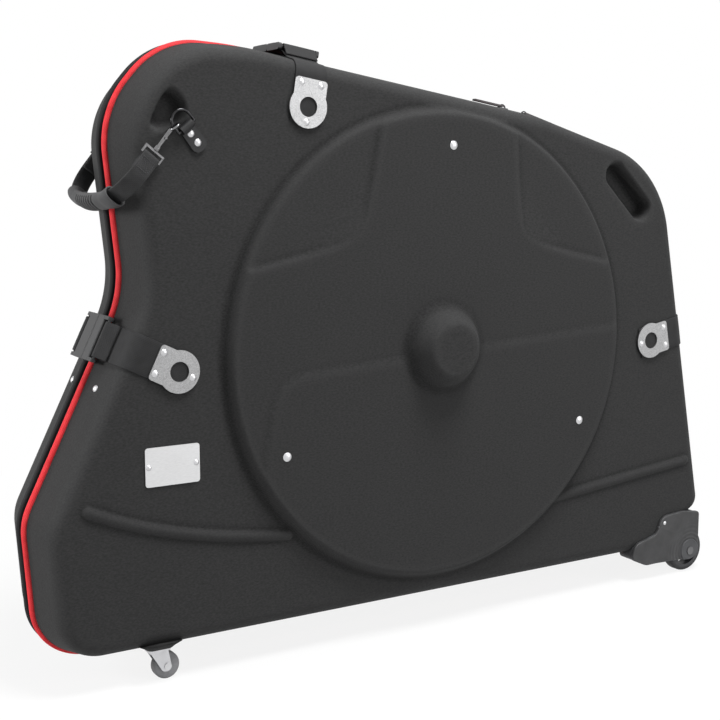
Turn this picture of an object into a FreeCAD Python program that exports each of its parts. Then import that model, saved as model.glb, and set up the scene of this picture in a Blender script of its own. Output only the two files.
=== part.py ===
import FreeCAD, Part
import math
import os

# Hard-foam travel case for a bicycle, standing on its wheels, closed.
# X runs along the case, Y from the front face to the back, Z up from the floor.
# The seam between the two half shells is the plane Y = 0, and lengths are in millimetres.
# The front half is modelled at negative Y, and the rear half is its mirror image.

Vector = FreeCAD.Vector
ALONG_X = Vector(1, 0, 0)
ALONG_Y = Vector(0, 1, 0)
ALONG_Z = Vector(0, 0, 1)

# Wheel disc: the case is built round it, so the shell's length and height are the disc's
# diameter and what lies beyond it
disc_radius = 352.0
length_beyond_disc = 480.0
height_beyond_disc = 117.0

# Shell: rim outline, depth and wall
floor_gap = 40.0
origin_share = 0.4974
seam_half = 17.0
shell_depth = 68.0
draft_angle = 12.0
wall = 5.0
face_round = 20.0
inner_round = 14.0

# Corners of the rim, anticlockwise from the lower left: shares of the length and height,
# and the corner radius as a share of the height
rim_shares = {
    "lower_left": (0.011, 0.000, 0.091),
    "lower_right": (0.887, 0.000, 0.073),
    "corner_high": (1.000, 0.084, 0.073),
    "upper_right": (0.904, 0.811, 0.213),
    "top_bend": (0.684, 0.903, 0.183),
    "top_start": (0.270, 0.998, 0.487),
    "upper_left": (0.172, 1.000, 0.122),
    "shoulder": (0.103, 0.883, 0.097),
    "waist": (0.123, 0.594, 0.183),
    "bulge": (0.000, 0.233, 0.097),
}

# The disc's place, its stepped panels, and the hub boss
hub_x_share = 0.515
hub_z_share = 0.476
disc_flank = 6.0
disc_crown = 16.0
disc_rise = 18.0
panel_step = 3.0
sector_step = 7.0
step_slope = 14.0
boss_base_radius = 65.0
boss_top_radius = 40.0
boss_rise = 51.0
boss_round = 12.0
# Outlines of the lowered panels, as shares of the disc radius from the hub, with corner radii
upper_panel_shares = (
    (1.20, 0.075, 0.0),
    (1.20, 1.20, 0.0),
    (-1.20, 1.20, 0.0),
    (-1.20, -0.50, 0.0),
    (-0.87, -0.50, 0.0),
    (-0.80, -0.055, 0.17),
)
left_sector_shares = (
    (-0.26, 1.20, 0.0),
    (-1.20, 1.20, 0.0),
    (-1.20, 0.31, 0.0),
    (-0.40, 0.47, 0.06),
)
right_sector_shares = (
    (0.42, 0.45, 0.06),
    (1.20, 0.28, 0.0),
    (1.20, 1.20, 0.0),
    (0.37, 1.20, 0.0),
)

# Cross rib: a half-round bead from the left edge into the disc and out to the right edge
rib_radius = 11.0
rib_rise = 6.0
rib_left_shares = ((0.054, 0.258), (0.150, 0.208), (0.300, 0.171))
rib_right_shares = ((0.700, 0.148), (0.954, 0.194))

# Hand-grip pocket at the upper right and finger pocket at the upper left
grip_x_share = 0.829
grip_z_share = 0.751
grip_length = 116.0
grip_width = 40.0
grip_depth = 24.0
grip_angle = -44.0
finger_x_share = 0.158
finger_z_share = 0.888
finger_reach = 52.0
finger_round = 22.0
finger_depth = 16.0
finger_angles = (80.0, 210.0, 330.0)
pocket_taper = 4.0
pocket_floor_round = 6.0

# Piping, zip and hinge strip on the rims
piping_radius = 4.0
piping_proud = 2.5
tape_inset = 3.0
tape_thickness = 1.6
tape_edge = 0.8
coil_height = 1.6
coil_width = 2.4
hinge_edge = 1.0
hinge_start_share = 0.10
hinge_end_share = 0.86
zip_end_height = 14.0

# Closing straps: how far each eye is from the rim, the rim edge, and the share of the way along it
top_eye_inset = 72.0
left_eye_inset = 88.0
right_eye_inset = 88.0
top_strap_share = 0.833
left_strap_share = 0.212
right_strap_share = 0.536
strap_sites = {
    "top": ("top_bend", "top_start", top_strap_share, top_eye_inset),
    "left": ("waist", "bulge", left_strap_share, left_eye_inset),
    "right": ("corner_high", "upper_right", right_strap_share, right_eye_inset),
}
strap_width = 50.0
strap_thickness = 2.0
strap_tail = 22.0
plate_thickness = 2.0
plate_radius = 29.0
plate_eye_radius = 13.5
plate_tab_length = 38.0
plate_tab_width = 50.0
plate_corner = 5.0
plate_rivet_inset = 7.0
plate_rivet_half = 15.0
plate_far_rivet = 21.0

# Side-release buckles
buckle_half = 40.0
buckle_width = 64.0
buckle_floor = 4.0
buckle_height = 10.0
buckle_rail = 5.0
buckle_bar_radius = 2.5
buckle_round = 3.0
buckle_body_end = 28.0
buckle_split = 4.0
prong_width = 9.0
prong_height = 5.0
prong_length = 20.0
prong_room = 1.2
strap_wall_end = 56.0
strap_bend = 12.0
strap_tail_bend = 3.0
strap_tail_gap = 4.0

# Rivets
rivet_shank = 1.75
rivet_dome = 2.2
plate_rivet_head = 4.8
disc_rivet_head = 6.5
small_rivet_head = 4.0
washer_radius = 6.0
washer_thickness = 1.0
disc_rivet_inset = 56.0
disc_rivet_angles = (87.0, -27.0, -153.0)
wall_rivet_share = 0.40
wall_rivet_depth = 28.0

# Wheel ties inside the disc
tie_width = 25.0
tie_thickness = 1.5
tie_hub_gap = 25.0
tie_edge_gap = 37.0

# Name plate
name_x_share = 0.154
name_z_share = 0.318
name_length = 78.0
name_height = 53.0
name_thickness = 1.5
name_corner = 4.0
name_rivet_inset = 5.0

# Carry handle, its rings and tabs
ring_x_share = 0.1715
ring_z_share = 0.868
ring_wire = 2.0
ring_bow = 14.0
ring_leg = 10.0
tab_angle = -50.0
tab_width = 25.0
tab_length = 38.0
tab_thickness = 3.0
tab_loop_wall = 3.6
tab_round = 10.0
tab_loop_width = 20.0
tab_rivet_first = 11.0
tab_rivet_second = 26.0
hook_angle = 215.0
handle_angle = 231.0
hook_wire = 1.5
hook_eye_length = 14.0
hook_eye_width = 13.0
hook_eye_round = 6.0
hook_eye_shift = 2.5
hook_length = 46.0
hook_shank = 3.4
hook_thumb = 7.0
swivel_neck = 2.8
swivel_radius = 4.2
swivel_length = 6.0
bail_length = 12.0
bail_side = 3.0
bail_round = 1.2
bail_bar_radius = 1.4
handle_reach = 134.0
handle_shoulder = 120.0
handle_tail = 24.0
handle_strap_width = 25.0
handle_strap_thickness = 2.4
handle_bend = 36.0
handle_arch = 300.0
arch_run_share = 0.6
grip_half = 60.0
grip_sink = 2.0
grip_waist_share = 0.6
grip_end_width = 38.0
grip_end_thickness = 27.0
grip_waist_width = 31.0
grip_waist_thickness = 21.0
grip_mid_thickness = 24.0
rib_count = 9
rib_pitch = 8.0
rib_slot = 3.0
rib_depth = 2.2

# Trolley wheels and their corner housings
roller_x_share = 0.9637
roller_radius = 38.0
roller_rim_radius = 31.0
roller_rim_thickness = 4.0
roller_hub_radius = 11.0
roller_width = 20.0
roller_room = 4.0
roller_middle = 72.0
roller_spokes = 5
roller_spoke_width = 7.0
roller_web = 8.0
tyre_round = 5.0
axle_radius = 4.0
axle_head_radius = 7.0
axle_head = 1.5
cheek_thickness = 4.0
inner_cheek = 3.5
side_room = 2.0
cheek_boss_radius = 22.0
cheek_boss_rise = 3.0
cheek_edge = 1.5
# Outline of the housing's cheek, from the axle, in shares of the wheel's radius, with corner radii
cheek_shares = (
    (-3.45, 0.08, 0.22),
    (-2.60, -0.30, 0.60),
    (0.55, -0.42, 0.58),
    (0.55, 1.82, 0.40),
    (-1.02, 1.82, 0.75),
    (-1.82, 1.13, 0.80),
    (-3.30, 0.68, 0.45),
)
cheek_rivet_shares = (-1.58, 1.50)

# Swivel casters
caster_x_share = 0.137
caster_y = 64.0
caster_plate_side = 32.0
caster_plate_thickness = 2.5
caster_pad_rim = 2.0
caster_pad_inside = 18.0
caster_wheel_radius = 19.0
caster_wheel_width = 14.0
caster_trail = 12.0
caster_race_radius = 11.0
caster_pin_radius = 4.0
caster_pin_head = 7.0
caster_pin_head_height = 1.4
fork_thickness = 2.5
fork_half_length = 13.0
fork_foot_radius = 7.0
fork_head_room = 2.0
fork_side_room = 0.8
caster_axle_radius = 3.0
caster_axle_head = 5.0
caster_tread_round = 3.0
caster_rivet_inset = 5.0
caster_rivet_dome = 1.0

# Zip sliders and pulls
left_slider_share = 0.045
right_slider_share = 0.081
slider_length = 18.0
slider_width = 11.0
slider_top = 3.5
slider_nose_share = 0.7
slider_round = 1.8
crown_radius = 6.0
crown_wire = 1.0
pull_pin = 0.9
pull_pin_height = 2.4
pull_arm = 1.6
pull_round = 1.5
pull_length = 58.0
pull_width = 9.0
pull_thickness = 2.6
pull_arm_length = 11.0

# Clearances
seat_gap = 0.2
running_gap = 0.05
swivel_gap = 0.3
hole_gap = 0.05
overrun = 20.0

shell_length = 2 * disc_radius + length_beyond_disc
shell_height = 2 * disc_radius + height_beyond_disc
disc_rivet_circle = disc_radius - disc_rivet_inset
tie_inner = boss_base_radius + tie_hub_gap
tie_outer = disc_radius - tie_edge_gap
face_y = seam_half + shell_depth
disc_y = face_y + disc_rise
panel_y = disc_y - panel_step
sector_y = disc_y - sector_step
boss_y = face_y + boss_rise
inner_face_y = face_y - wall
inner_disc_y = sector_y - wall
draft = math.tan(math.radians(draft_angle))
face_inset = shell_depth * draft


def x_at(share):
    return (share - origin_share) * shell_length


def z_at(share):
    return floor_gap + share * shell_height


hub_x = x_at(hub_x_share)
hub_z = z_at(hub_z_share)


# Paths: each corner is (a, b, radius) in a plane, and place(a, b) puts it in space

def direction(start, end):
    run = math.hypot(end[0] - start[0], end[1] - start[1])
    return (end[0] - start[0]) / run, (end[1] - start[1]) / run


def polar(radius, angle):
    return radius * math.cos(math.radians(angle)), radius * math.sin(math.radians(angle))


def bends(corners, closed):
    """The directions in which a path comes into and leaves each corner."""
    last = len(corners) - 1
    pairs = []
    for i in range(len(corners)):
        into = direction(corners[i - 1], corners[i]) if closed or i > 0 else None
        out = direction(corners[i], corners[(i + 1) % len(corners)]) if closed or i < last else None
        pairs.append((into or out, out or into))
    return pairs


def shifted(corners, shift, closed=True):
    """Moves a path sideways to its left, with its arcs kept concentric."""
    moved = []
    for (a, b, radius), (into, out) in zip(corners, bends(corners, closed)):
        turn = into[0] * out[1] - into[1] * out[0]
        fold = 1 + into[0] * out[0] + into[1] * out[1]
        new_radius = radius - shift * math.copysign(1, turn) if radius else radius
        step = shift / fold
        moved.append((a - (into[1] + out[1]) * step, b + (into[0] + out[0]) * step, new_radius))
    return moved


def path_edges(corners, place, closed=True):
    """Straight runs joined by tangent arcs."""
    stops = []
    for (a, b, radius), (into, out) in zip(corners, bends(corners, closed)):
        half = math.acos(max(-1.0, min(1.0, into[0] * out[0] + into[1] * out[1]))) / 2
        if radius and half:
            reach = radius * math.tan(half)
            sag = radius * (1 / math.cos(half) - 1)
            inward = direction(into, out)
            enter = place(a - into[0] * reach, b - into[1] * reach)
            middle = place(a + inward[0] * sag, b + inward[1] * sag)
            stops.append((enter, middle, place(a + out[0] * reach, b + out[1] * reach)))
        else:
            stops.append((place(a, b), None, place(a, b)))
    edges = []
    for i, (enter, middle, leave) in enumerate(stops):
        if i > 0 or closed:
            edges.append(Part.LineSegment(stops[i - 1][2], enter).toShape())
        if middle:
            edges.append(Part.Arc(enter, middle, leave).toShape())
    return edges


def outline(corners, place):
    return Part.Wire(Part.__sortEdges__(path_edges(corners, place)))


def prism(corners, place, along):
    return Part.Face(outline(corners, place)).extrude(along)


def tapered(low, place_low, high, place_high):
    """A straight-sided solid between two outlines."""
    return Part.makeLoft([outline(low, place_low), outline(high, place_high)], True, True)


def ribbon(corners, thickness, place, along):
    """A strip of even thickness that follows an open path."""
    sides = [shifted(corners, side * thickness / 2, closed=False) for side in (1, -1)]
    edges = path_edges(sides[0], place, closed=False) + path_edges(sides[1], place, closed=False)
    for end in (0, -1):
        edges.append(Part.LineSegment(place(*sides[0][end][:2]), place(*sides[1][end][:2])).toShape())
    return Part.Face(Part.Wire(Part.__sortEdges__(edges))).extrude(along)


def rectangle(half_a, half_b, radius):
    signs = ((-1, -1), (1, -1), (1, 1), (-1, 1))
    return [(a * half_a, b * half_b, radius) for a, b in signs]


def moved_path(corners, a, b, angle):
    turn = math.radians(angle)
    return [
        (a + ca * math.cos(turn) - cb * math.sin(turn), b + ca * math.sin(turn) + cb * math.cos(turn), radius)
        for ca, cb, radius in corners
    ]


def upright(y):
    return lambda a, b: Vector(a, y, b)


def box(low, high):
    return Part.makeBox(high[0] - low[0], high[1] - low[1], high[2] - low[2], Vector(*low))


def fused(shapes):
    return shapes[0].multiFuse(shapes[1:]).removeSplitter()


def rounded_where(shape, radius, test):
    return shape.makeFillet(radius, [edge for edge in shape.Edges if test(edge)])


def all_at_y(edge, y):
    return all(abs(vertex.Y - y) < seat_gap / 2 for vertex in edge.Vertexes)


def turned(angle):
    """A turn in the plane of the face, anticlockwise as seen from the front."""
    return FreeCAD.Rotation(ALONG_Y, -angle)


def rear_of(shape):
    return shape.mirror(Vector(0, 0, 0), ALONG_Y)


# Rim outline and the local frames on its straight edges

def rim_corners(inset=0.0):
    corners = [(x_at(x), z_at(z), radius * shell_height) for x, z, radius in rim_shares.values()]
    return shifted(corners, inset)


def edge_frame(start, end, share):
    """A frame on a rim edge: x along it, y to the rear, z straight out of the case."""
    names = list(rim_shares)
    first = rim_corners()[names.index(start)]
    second = rim_corners()[names.index(end)]
    left, up = direction(first, second)
    x = first[0] + (second[0] - first[0]) * share
    z = first[1] + (second[1] - first[1]) * share
    matrix = FreeCAD.Matrix(-left, 0, up, x, 0, 1, 0, 0, -up, 0, -left, z, 0, 0, 0, 1)
    return FreeCAD.Placement(matrix)


def seated(shape, frame):
    placed = shape.copy()
    placed.Placement = frame
    return placed


# Half shell

def drafted_form(inset, near, far, rounding):
    """The case's outline, narrowing from the rim to the face."""
    rims = [rim_corners(inset + (depth - seam_half) * draft) for depth in (near, far)]
    form = tapered(rims[0], upright(-near), rims[1], upright(-far))
    return rounded_where(form, rounding, lambda edge: all_at_y(edge, -far))


def turned_form(profile):
    """A solid of revolution about the hub's axis; the profile is in radius and Y."""
    face = Part.Face(outline(profile, lambda a, b: Vector(hub_x + a, b, hub_z)))
    return face.revolve(Vector(hub_x, 0, hub_z), ALONG_Y, 360)


def disc_form(inset, top):
    foot = disc_radius - inset
    return turned_form([
        (0, -inner_face_y + wall, 0),
        (foot, -inner_face_y + wall, 0),
        (foot, -face_y, 0),
        (foot - disc_flank, -top, disc_crown - inset),
        (0, -top, 0),
    ])


def boss_form(inset):
    return turned_form([
        (0, -inner_disc_y + wall, 0),
        (boss_base_radius - inset, -inner_disc_y + wall, 0),
        (boss_base_radius - inset, -panel_y + inset, 0),
        (boss_top_radius - inset, -boss_y + inset, boss_round - inset),
        (0, -boss_y + inset, 0),
    ])


def lowered_panel(shares, depth):
    """A cutter that lowers part of the disc, with sloping sides."""
    floor = [(hub_x + a * disc_radius, hub_z + b * disc_radius, r * disc_radius) for a, b, r in shares]
    spread = step_slope * (depth + panel_step) / depth
    return tapered(floor, upright(-disc_y + depth), shifted(floor, -spread), upright(-disc_y - panel_step))


def rib_form():
    sink = -face_y + rib_radius - rib_rise
    left = [Vector(x_at(x), sink, z_at(z)) for x, z in rib_left_shares]
    right = [Vector(x_at(x), sink, z_at(z)) for x, z in rib_right_shares]
    bead = Part.makeCircle(rib_radius, left[0], Part.Arc(*left).tangent(0)[0])
    curved = Part.Wire(Part.Arc(*left).toShape()).makePipe(Part.Face(Part.Wire(bead)))
    straight = Part.makeCylinder(rib_radius, (right[1] - right[0]).Length, right[0], right[1] - right[0])
    ends = [Part.makeSphere(rib_radius, left[0]), Part.makeSphere(rib_radius, right[1])]
    return [curved, straight] + ends


def pocket(corners, depth, grow):
    """A moulded hollow in the face, grown by the wall for the inside of the shell."""
    floor = shifted(corners, pocket_taper - grow)
    flare = shifted(corners, -grow - pocket_taper * overrun / depth)
    form = tapered(floor, upright(-face_y + depth + grow), flare, upright(-face_y - overrun))
    return rounded_where(form, pocket_floor_round, lambda edge: all_at_y(edge, -face_y + depth + grow))


def pockets(grow):
    slot = moved_path(
        rectangle(grip_length / 2, grip_width / 2, grip_width / 2 - seat_gap),
        x_at(grip_x_share), z_at(grip_z_share), grip_angle,
    )
    finger_x = x_at(finger_x_share)
    finger_z = z_at(finger_z_share)
    finger = []
    for angle in finger_angles:
        a, b = polar(finger_reach, angle)
        finger.append((finger_x + a, finger_z + b, finger_round))
    return [pocket(slot, grip_depth, grow), pocket(finger, finger_depth, grow)]


def caster_height():
    """The level of the caster's seat, just below the shell's sloping underside."""
    return floor_gap + (caster_y - caster_plate_side / 2 - seam_half) * draft - seat_gap


def caster_pad():
    half = caster_plate_side / 2 + caster_pad_rim
    x = x_at(caster_x_share)
    return box(
        (x - half, -caster_y - half, caster_height()),
        (x + half, -caster_y + half, caster_height() + caster_pad_inside),
    )


def shell():
    outer = drafted_form(0.0, seam_half, face_y, face_round)
    outer = outer.multiFuse([disc_form(0.0, disc_y), boss_form(0.0), caster_pad()] + rib_form())
    outer = outer.cut([
        lowered_panel(upper_panel_shares, panel_step),
        lowered_panel(left_sector_shares, sector_step),
        lowered_panel(right_sector_shares, sector_step),
    ])
    outer = outer.fuse(boss_form(0.0))
    outer = outer.cut(pockets(0.0))
    inner = drafted_form(wall, seam_half - overrun / 2, inner_face_y, inner_round)
    inner = inner.multiFuse([disc_form(wall, inner_disc_y), boss_form(wall)])
    inner = inner.cut(pockets(wall))
    return outer.cut(inner).cut(rivet_holes()).removeSplitter()


# Rim trim

def piping():
    inset = piping_radius - piping_proud
    y = -seam_half + piping_radius + seat_gap / 2
    corners = rim_corners(inset)
    path = outline(corners, upright(y))
    start = path.Edges[0].valueAt(path.Edges[0].FirstParameter)
    along = path.Edges[0].tangentAt(path.Edges[0].FirstParameter)
    bead = Part.Wire(Part.makeCircle(piping_radius, start, along))
    return path.makePipeShell([bead], True, False)


def rim_band(inset, thickness, near, far):
    """A flat band that follows the rim, between two distances from the seam."""
    outer = Part.Face(outline(rim_corners(inset), upright(-far)))
    inner = Part.Face(outline(rim_corners(inset + thickness), upright(-far)))
    return outer.cut(inner).extrude(ALONG_Y * (far - near))


def tape_reach():
    drop = tape_inset - (piping_radius - piping_proud)
    return seam_half - piping_radius - math.sqrt(piping_radius ** 2 - drop ** 2) - seat_gap


def zip_tape():
    tape = rim_band(tape_inset, tape_thickness, tape_edge, tape_reach())
    coil = rim_band(tape_inset - coil_height, coil_height, tape_edge, tape_edge + coil_width)
    floor_edge = box(
        (x_at(0) - overrun, -seam_half, floor_gap - overrun),
        (x_at(1) + overrun, overrun, floor_gap + zip_end_height),
    )
    return tape.fuse(coil).removeSplitter().cut(floor_edge)


def hinge_flap():
    return box(
        (x_at(hinge_start_share), -tape_reach(), floor_gap + tape_inset),
        (x_at(hinge_end_share), -hinge_edge, floor_gap + tape_inset + tape_thickness),
    )


# Closing straps, in the frame of their rim edge

def across(a, b):
    return Vector(-strap_width / 2, a, b)


def bar_middle():
    return buckle_floor + buckle_height / 2


def strap(eye_inset):
    """Webbing from under the plate, round the edge of the face, along the wall and round the buckle's bar."""
    ground = [
        (-face_y, -eye_inset - strap_tail, 0),
        (-face_y, -face_inset, face_round),
        (-strap_wall_end, -(strap_wall_end - seam_half) * draft, strap_bend),
        (-seam_half, 0, 0),
    ]
    path = shifted(ground, seat_gap + strap_thickness / 2, closed=False)[:-1]
    loop = buckle_bar_radius + seat_gap + strap_thickness / 2
    bar_y = -buckle_half + buckle_bar_radius
    path.append((bar_y + loop, bar_middle() - loop, loop - seat_gap / 4))
    path.append((bar_y + loop, bar_middle() + loop, loop - seat_gap / 4))
    path.append((bar_y - strap_thickness, bar_middle() + loop, strap_tail_bend))
    foot = path[2]
    rise = (bar_middle() - loop - foot[1]) / (bar_y + loop - foot[0])
    clear = (strap_thickness + seat_gap) * math.hypot(1, rise)
    path.append((foot[0] + strap_tail_gap, foot[1] + strap_tail_gap * rise + clear, 0))
    return ribbon(path, strap_thickness, across, ALONG_X * strap_width)


def plate_y():
    return -face_y - 2 * seat_gap - strap_thickness


def plate_rivet_places(eye_inset):
    tab = -eye_inset + plate_tab_length - plate_rivet_inset
    return [(-plate_rivet_half, tab), (plate_rivet_half, tab), (0, -eye_inset - plate_far_rivet)]


def anchor_plate(eye_inset):
    y = plate_y() - plate_thickness
    along = ALONG_Y * plate_thickness
    eye = Vector(0, y, -eye_inset)
    half = plate_tab_width / 2
    tab = [
        (-half, -eye_inset, 0),
        (half, -eye_inset, 0),
        (half, -eye_inset + plate_tab_length, plate_corner),
        (-half, -eye_inset + plate_tab_length, plate_corner),
    ]
    plate = Part.makeCylinder(plate_radius, plate_thickness, eye, ALONG_Y)
    plate = plate.fuse(prism(tab, upright(y), along)).removeSplitter()
    return plate.cut(Part.makeCylinder(plate_eye_radius, plate_thickness, eye, ALONG_Y))


def drilled(shape, places, y, reach):
    holes = []
    for x, z in places:
        holes.append(Part.makeCylinder(rivet_shank + hole_gap, reach, Vector(x, y, z), ALONG_Y))
    return shape.cut(holes)


def buckle_rounded(half_width, near, far, low, high):
    """A bar across the strap with rounded long edges."""
    radius = min(buckle_round, (high - low) / 2 - seat_gap, (far - near) / 2 - seat_gap)
    section = [(near, low, radius), (far, low, radius), (far, high, radius), (near, high, radius)]
    return prism(section, lambda a, b: Vector(-half_width, a, b), Vector(2 * half_width, 0, 0))


def buckle_end(side):
    """Rails and the bar that the webbing loops round, at one end of a buckle."""
    half = buckle_width / 2
    low = buckle_floor
    bar_y = side * (buckle_half - buckle_bar_radius)
    bar_start = Vector(-half + buckle_rail / 2, bar_y, bar_middle())
    bar = Part.makeCylinder(buckle_bar_radius, buckle_width - buckle_rail, bar_start, ALONG_X)
    near = min(side * buckle_half, side * (buckle_body_end - buckle_rail))
    far = max(side * buckle_half, side * (buckle_body_end - buckle_rail))
    rails = []
    for rail_side in (-1, 1):
        middle = rail_side * (half - buckle_rail / 2)
        rail = buckle_rounded(buckle_rail / 2, near, far, low + seat_gap, low + buckle_height - seat_gap)
        rail.translate(Vector(middle, 0, 0))
        rails.append(rail)
    return [bar] + rails


def buckle_plug():
    half = buckle_width / 2
    top = buckle_floor + buckle_height
    body = buckle_rounded(half, -buckle_body_end, -buckle_split, buckle_floor, top)
    low = bar_middle() - prong_height / 2
    prongs = []
    for x in (-half + prong_width, 0, half - prong_width):
        prong = [
            (x - prong_width / 2, -buckle_split - buckle_rail, 0),
            (x + prong_width / 2, -buckle_split - buckle_rail, 0),
            (x + prong_width / 2, prong_length - buckle_split, prong_width / 3),
            (x - prong_width / 2, prong_length - buckle_split, prong_width / 3),
        ]
        prongs.append(prism(prong, lambda a, b: Vector(a, b, low), ALONG_Z * prong_height))
    return fused([body] + buckle_end(-1) + prongs)


def buckle_socket():
    half = buckle_width / 2
    top = buckle_floor + buckle_height
    near = -buckle_split + seat_gap
    body = buckle_rounded(half, near, buckle_body_end, buckle_floor, top)
    side = half - prong_width / 2 + prong_room
    rise = prong_height / 2 + prong_room
    throat = box(
        (-side, near - overrun, bar_middle() - rise),
        (side, prong_length - buckle_split + prong_room, bar_middle() + rise),
    )
    return fused([body.cut(throat)] + buckle_end(1))


# Rivets

def rivet(head, head_radius, grip, rise=rivet_dome, inside=True):
    """A domed rivet along +Y from the underside of its head, with a washer at its far end."""
    ball = (head_radius ** 2 + rise ** 2) / (2 * rise)
    dome = Part.makeSphere(ball, Vector(0, ball - rise, 0))
    dome = dome.common(Part.makeCylinder(head_radius, rise, Vector(0, -rise, 0), ALONG_Y))
    pieces = [dome, Part.makeCylinder(rivet_shank, grip, Vector(0, 0, 0), ALONG_Y)]
    if inside:
        pieces.append(Part.makeCylinder(washer_radius, washer_thickness, Vector(0, grip, 0), ALONG_Y))
    whole = fused(pieces)
    whole.translate(head)
    return whole


def hole(head, grip):
    start = head - ALONG_Y * rivet_dome
    return Part.makeCylinder(rivet_shank + hole_gap, grip + rivet_dome, start, ALONG_Y)


def strap_frame(name):
    start, end, share, eye_inset = strap_sites[name]
    return edge_frame(start, end, share), eye_inset


def disc_rivet_places():
    places = []
    for angle in disc_rivet_angles:
        a, b = polar(disc_rivet_circle, angle)
        level = panel_y if b > 0 else disc_y
        places.append((hub_x + a, hub_z + b, level))
    return places


def name_rivet_places():
    reach = name_length / 2 - name_rivet_inset
    return [(x_at(name_x_share) + side * reach, z_at(name_z_share)) for side in (-1, 1)]


def tab_point(reach):
    """A point on the ring tab's middle line, measured from the ring's bar."""
    a, b = polar(ring_leg + reach, tab_angle)
    return x_at(ring_x_share) + a, z_at(ring_z_share) + b


def roller_centre():
    return x_at(roller_x_share), roller_radius


def cheek_rivet_place():
    x, z = roller_centre()
    return x + cheek_rivet_shares[0] * roller_radius, z + cheek_rivet_shares[1] * roller_radius


def face_rivets():
    """Every rivet that runs straight in through the face: head, head radius, grip."""
    table = []
    for name in strap_sites:
        frame, eye_inset = strap_frame(name)
        for x, z in plate_rivet_places(eye_inset):
            head = frame.multVec(Vector(x, plate_y() - plate_thickness, z))
            table.append((head, plate_rivet_head, -inner_face_y - head.y))
    for x, z, level in disc_rivet_places():
        table.append((Vector(x, -level, z), disc_rivet_head, level - inner_disc_y + tie_thickness + seat_gap))
    for reach in (tab_rivet_first, tab_rivet_second):
        x, z = tab_point(reach)
        y = -face_y - seat_gap - tab_thickness
        table.append((Vector(x, y, z), plate_rivet_head, -inner_face_y - y))
    x, z = cheek_rivet_place()
    y = -face_y - seat_gap - cheek_thickness
    table.append((Vector(x, y, z), plate_rivet_head, -inner_face_y - y))
    return table


def name_rivets():
    """The name plate's own rivets, which only the front half has."""
    y = -face_y - seat_gap - name_thickness
    return [(Vector(x, y, z), small_rivet_head, -inner_face_y - y) for x, z in name_rivet_places()]


def wall_rivet_frame():
    """A frame square to the drafted wall below the left strap, with y running into the case."""
    frame = edge_frame("waist", "bulge", wall_rivet_share)
    depth = seam_half + wall_rivet_depth
    lean = FreeCAD.Rotation(ALONG_X, -90 + draft_angle)
    return frame.multiply(FreeCAD.Placement(Vector(0, -depth, -wall_rivet_depth * draft), lean))


def caster_rivet_places():
    reach = caster_plate_side / 2 - caster_rivet_inset
    x = x_at(caster_x_share)
    return [(x + a * reach, -caster_y + b * reach) for a in (-1, 1) for b in (-1, 1)]


def upward(shape, x, y, z):
    """Turns a piece that was made along +Y to run straight up from a point."""
    shape.Placement = FreeCAD.Placement(Vector(x, y, z), FreeCAD.Rotation(ALONG_X, 90))
    return shape


def rivets():
    pieces = [rivet(head, radius, grip) for head, radius, grip in face_rivets()]
    pieces.append(seated(rivet(Vector(0, 0, 0), plate_rivet_head, wall), wall_rivet_frame()))
    grip = caster_plate_thickness + wall
    for x, y in caster_rivet_places():
        stud = rivet(Vector(0, 0, 0), small_rivet_head, grip, caster_rivet_dome, inside=False)
        pieces.append(upward(stud, x, y, caster_height() - caster_plate_thickness))
    return Part.makeCompound(pieces)


def rivet_holes():
    cuts = [hole(head, grip) for head, radius, grip in face_rivets()]
    cuts.append(seated(hole(Vector(0, 0, 0), 2 * wall), wall_rivet_frame()))
    for x, y in caster_rivet_places():
        stud = hole(Vector(0, 0, 0), caster_plate_thickness + wall)
        cuts.append(upward(stud, x, y, caster_height() - caster_plate_thickness))
    return cuts


def wheel_ties():
    ties = []
    for angle in disc_rivet_angles:
        y = -inner_disc_y + seat_gap
        tie = box((tie_inner, y, -tie_width / 2), (tie_outer, y + tie_thickness, tie_width / 2))
        tie = drilled(tie, [(disc_rivet_circle, 0)], -inner_disc_y, wall)
        tie.Placement = FreeCAD.Placement(Vector(hub_x, 0, hub_z), turned(angle))
        ties.append(tie)
    return Part.makeCompound(ties)


def name_plate():
    y = -face_y - seat_gap - name_thickness
    corners = rectangle(name_length / 2, name_height / 2, name_corner)
    corners = moved_path(corners, x_at(name_x_share), z_at(name_z_share), 0)
    plate = prism(corners, upright(y), ALONG_Y * name_thickness)
    return drilled(plate, name_rivet_places(), y, name_thickness)


# Carry handle: rings, tabs, hooks, webbing and grip

def ring_y():
    return -face_y - seat_gap - ring_wire - running_gap - tab_loop_wall


def ring_frame(angle):
    """A frame at the middle of the ring's bow, with x along the given angle in the face."""
    centre = Vector(x_at(ring_x_share), ring_y(), z_at(ring_z_share))
    return FreeCAD.Placement(centre, turned(angle))


def d_ring():
    """Bar, two legs and a half-round bow of wire; x points along the tab."""
    bow = Part.makeTorus(ring_bow, ring_wire, Vector(0, 0, 0), ALONG_Y)
    bow = bow.common(box((-ring_bow * 2, -ring_wire, -ring_bow * 2), (0, ring_wire, ring_bow * 2)))
    pieces = [bow]
    for side in (-1, 1):
        pieces.append(Part.makeCylinder(ring_wire, ring_leg, Vector(0, 0, side * ring_bow), ALONG_X))
        pieces.append(Part.makeSphere(ring_wire, Vector(ring_leg, 0, side * ring_bow)))
    pieces.append(Part.makeCylinder(ring_wire, 2 * ring_bow, Vector(ring_leg, 0, -ring_bow), ALONG_Z))
    return seated(fused(pieces), ring_frame(tab_angle))


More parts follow.
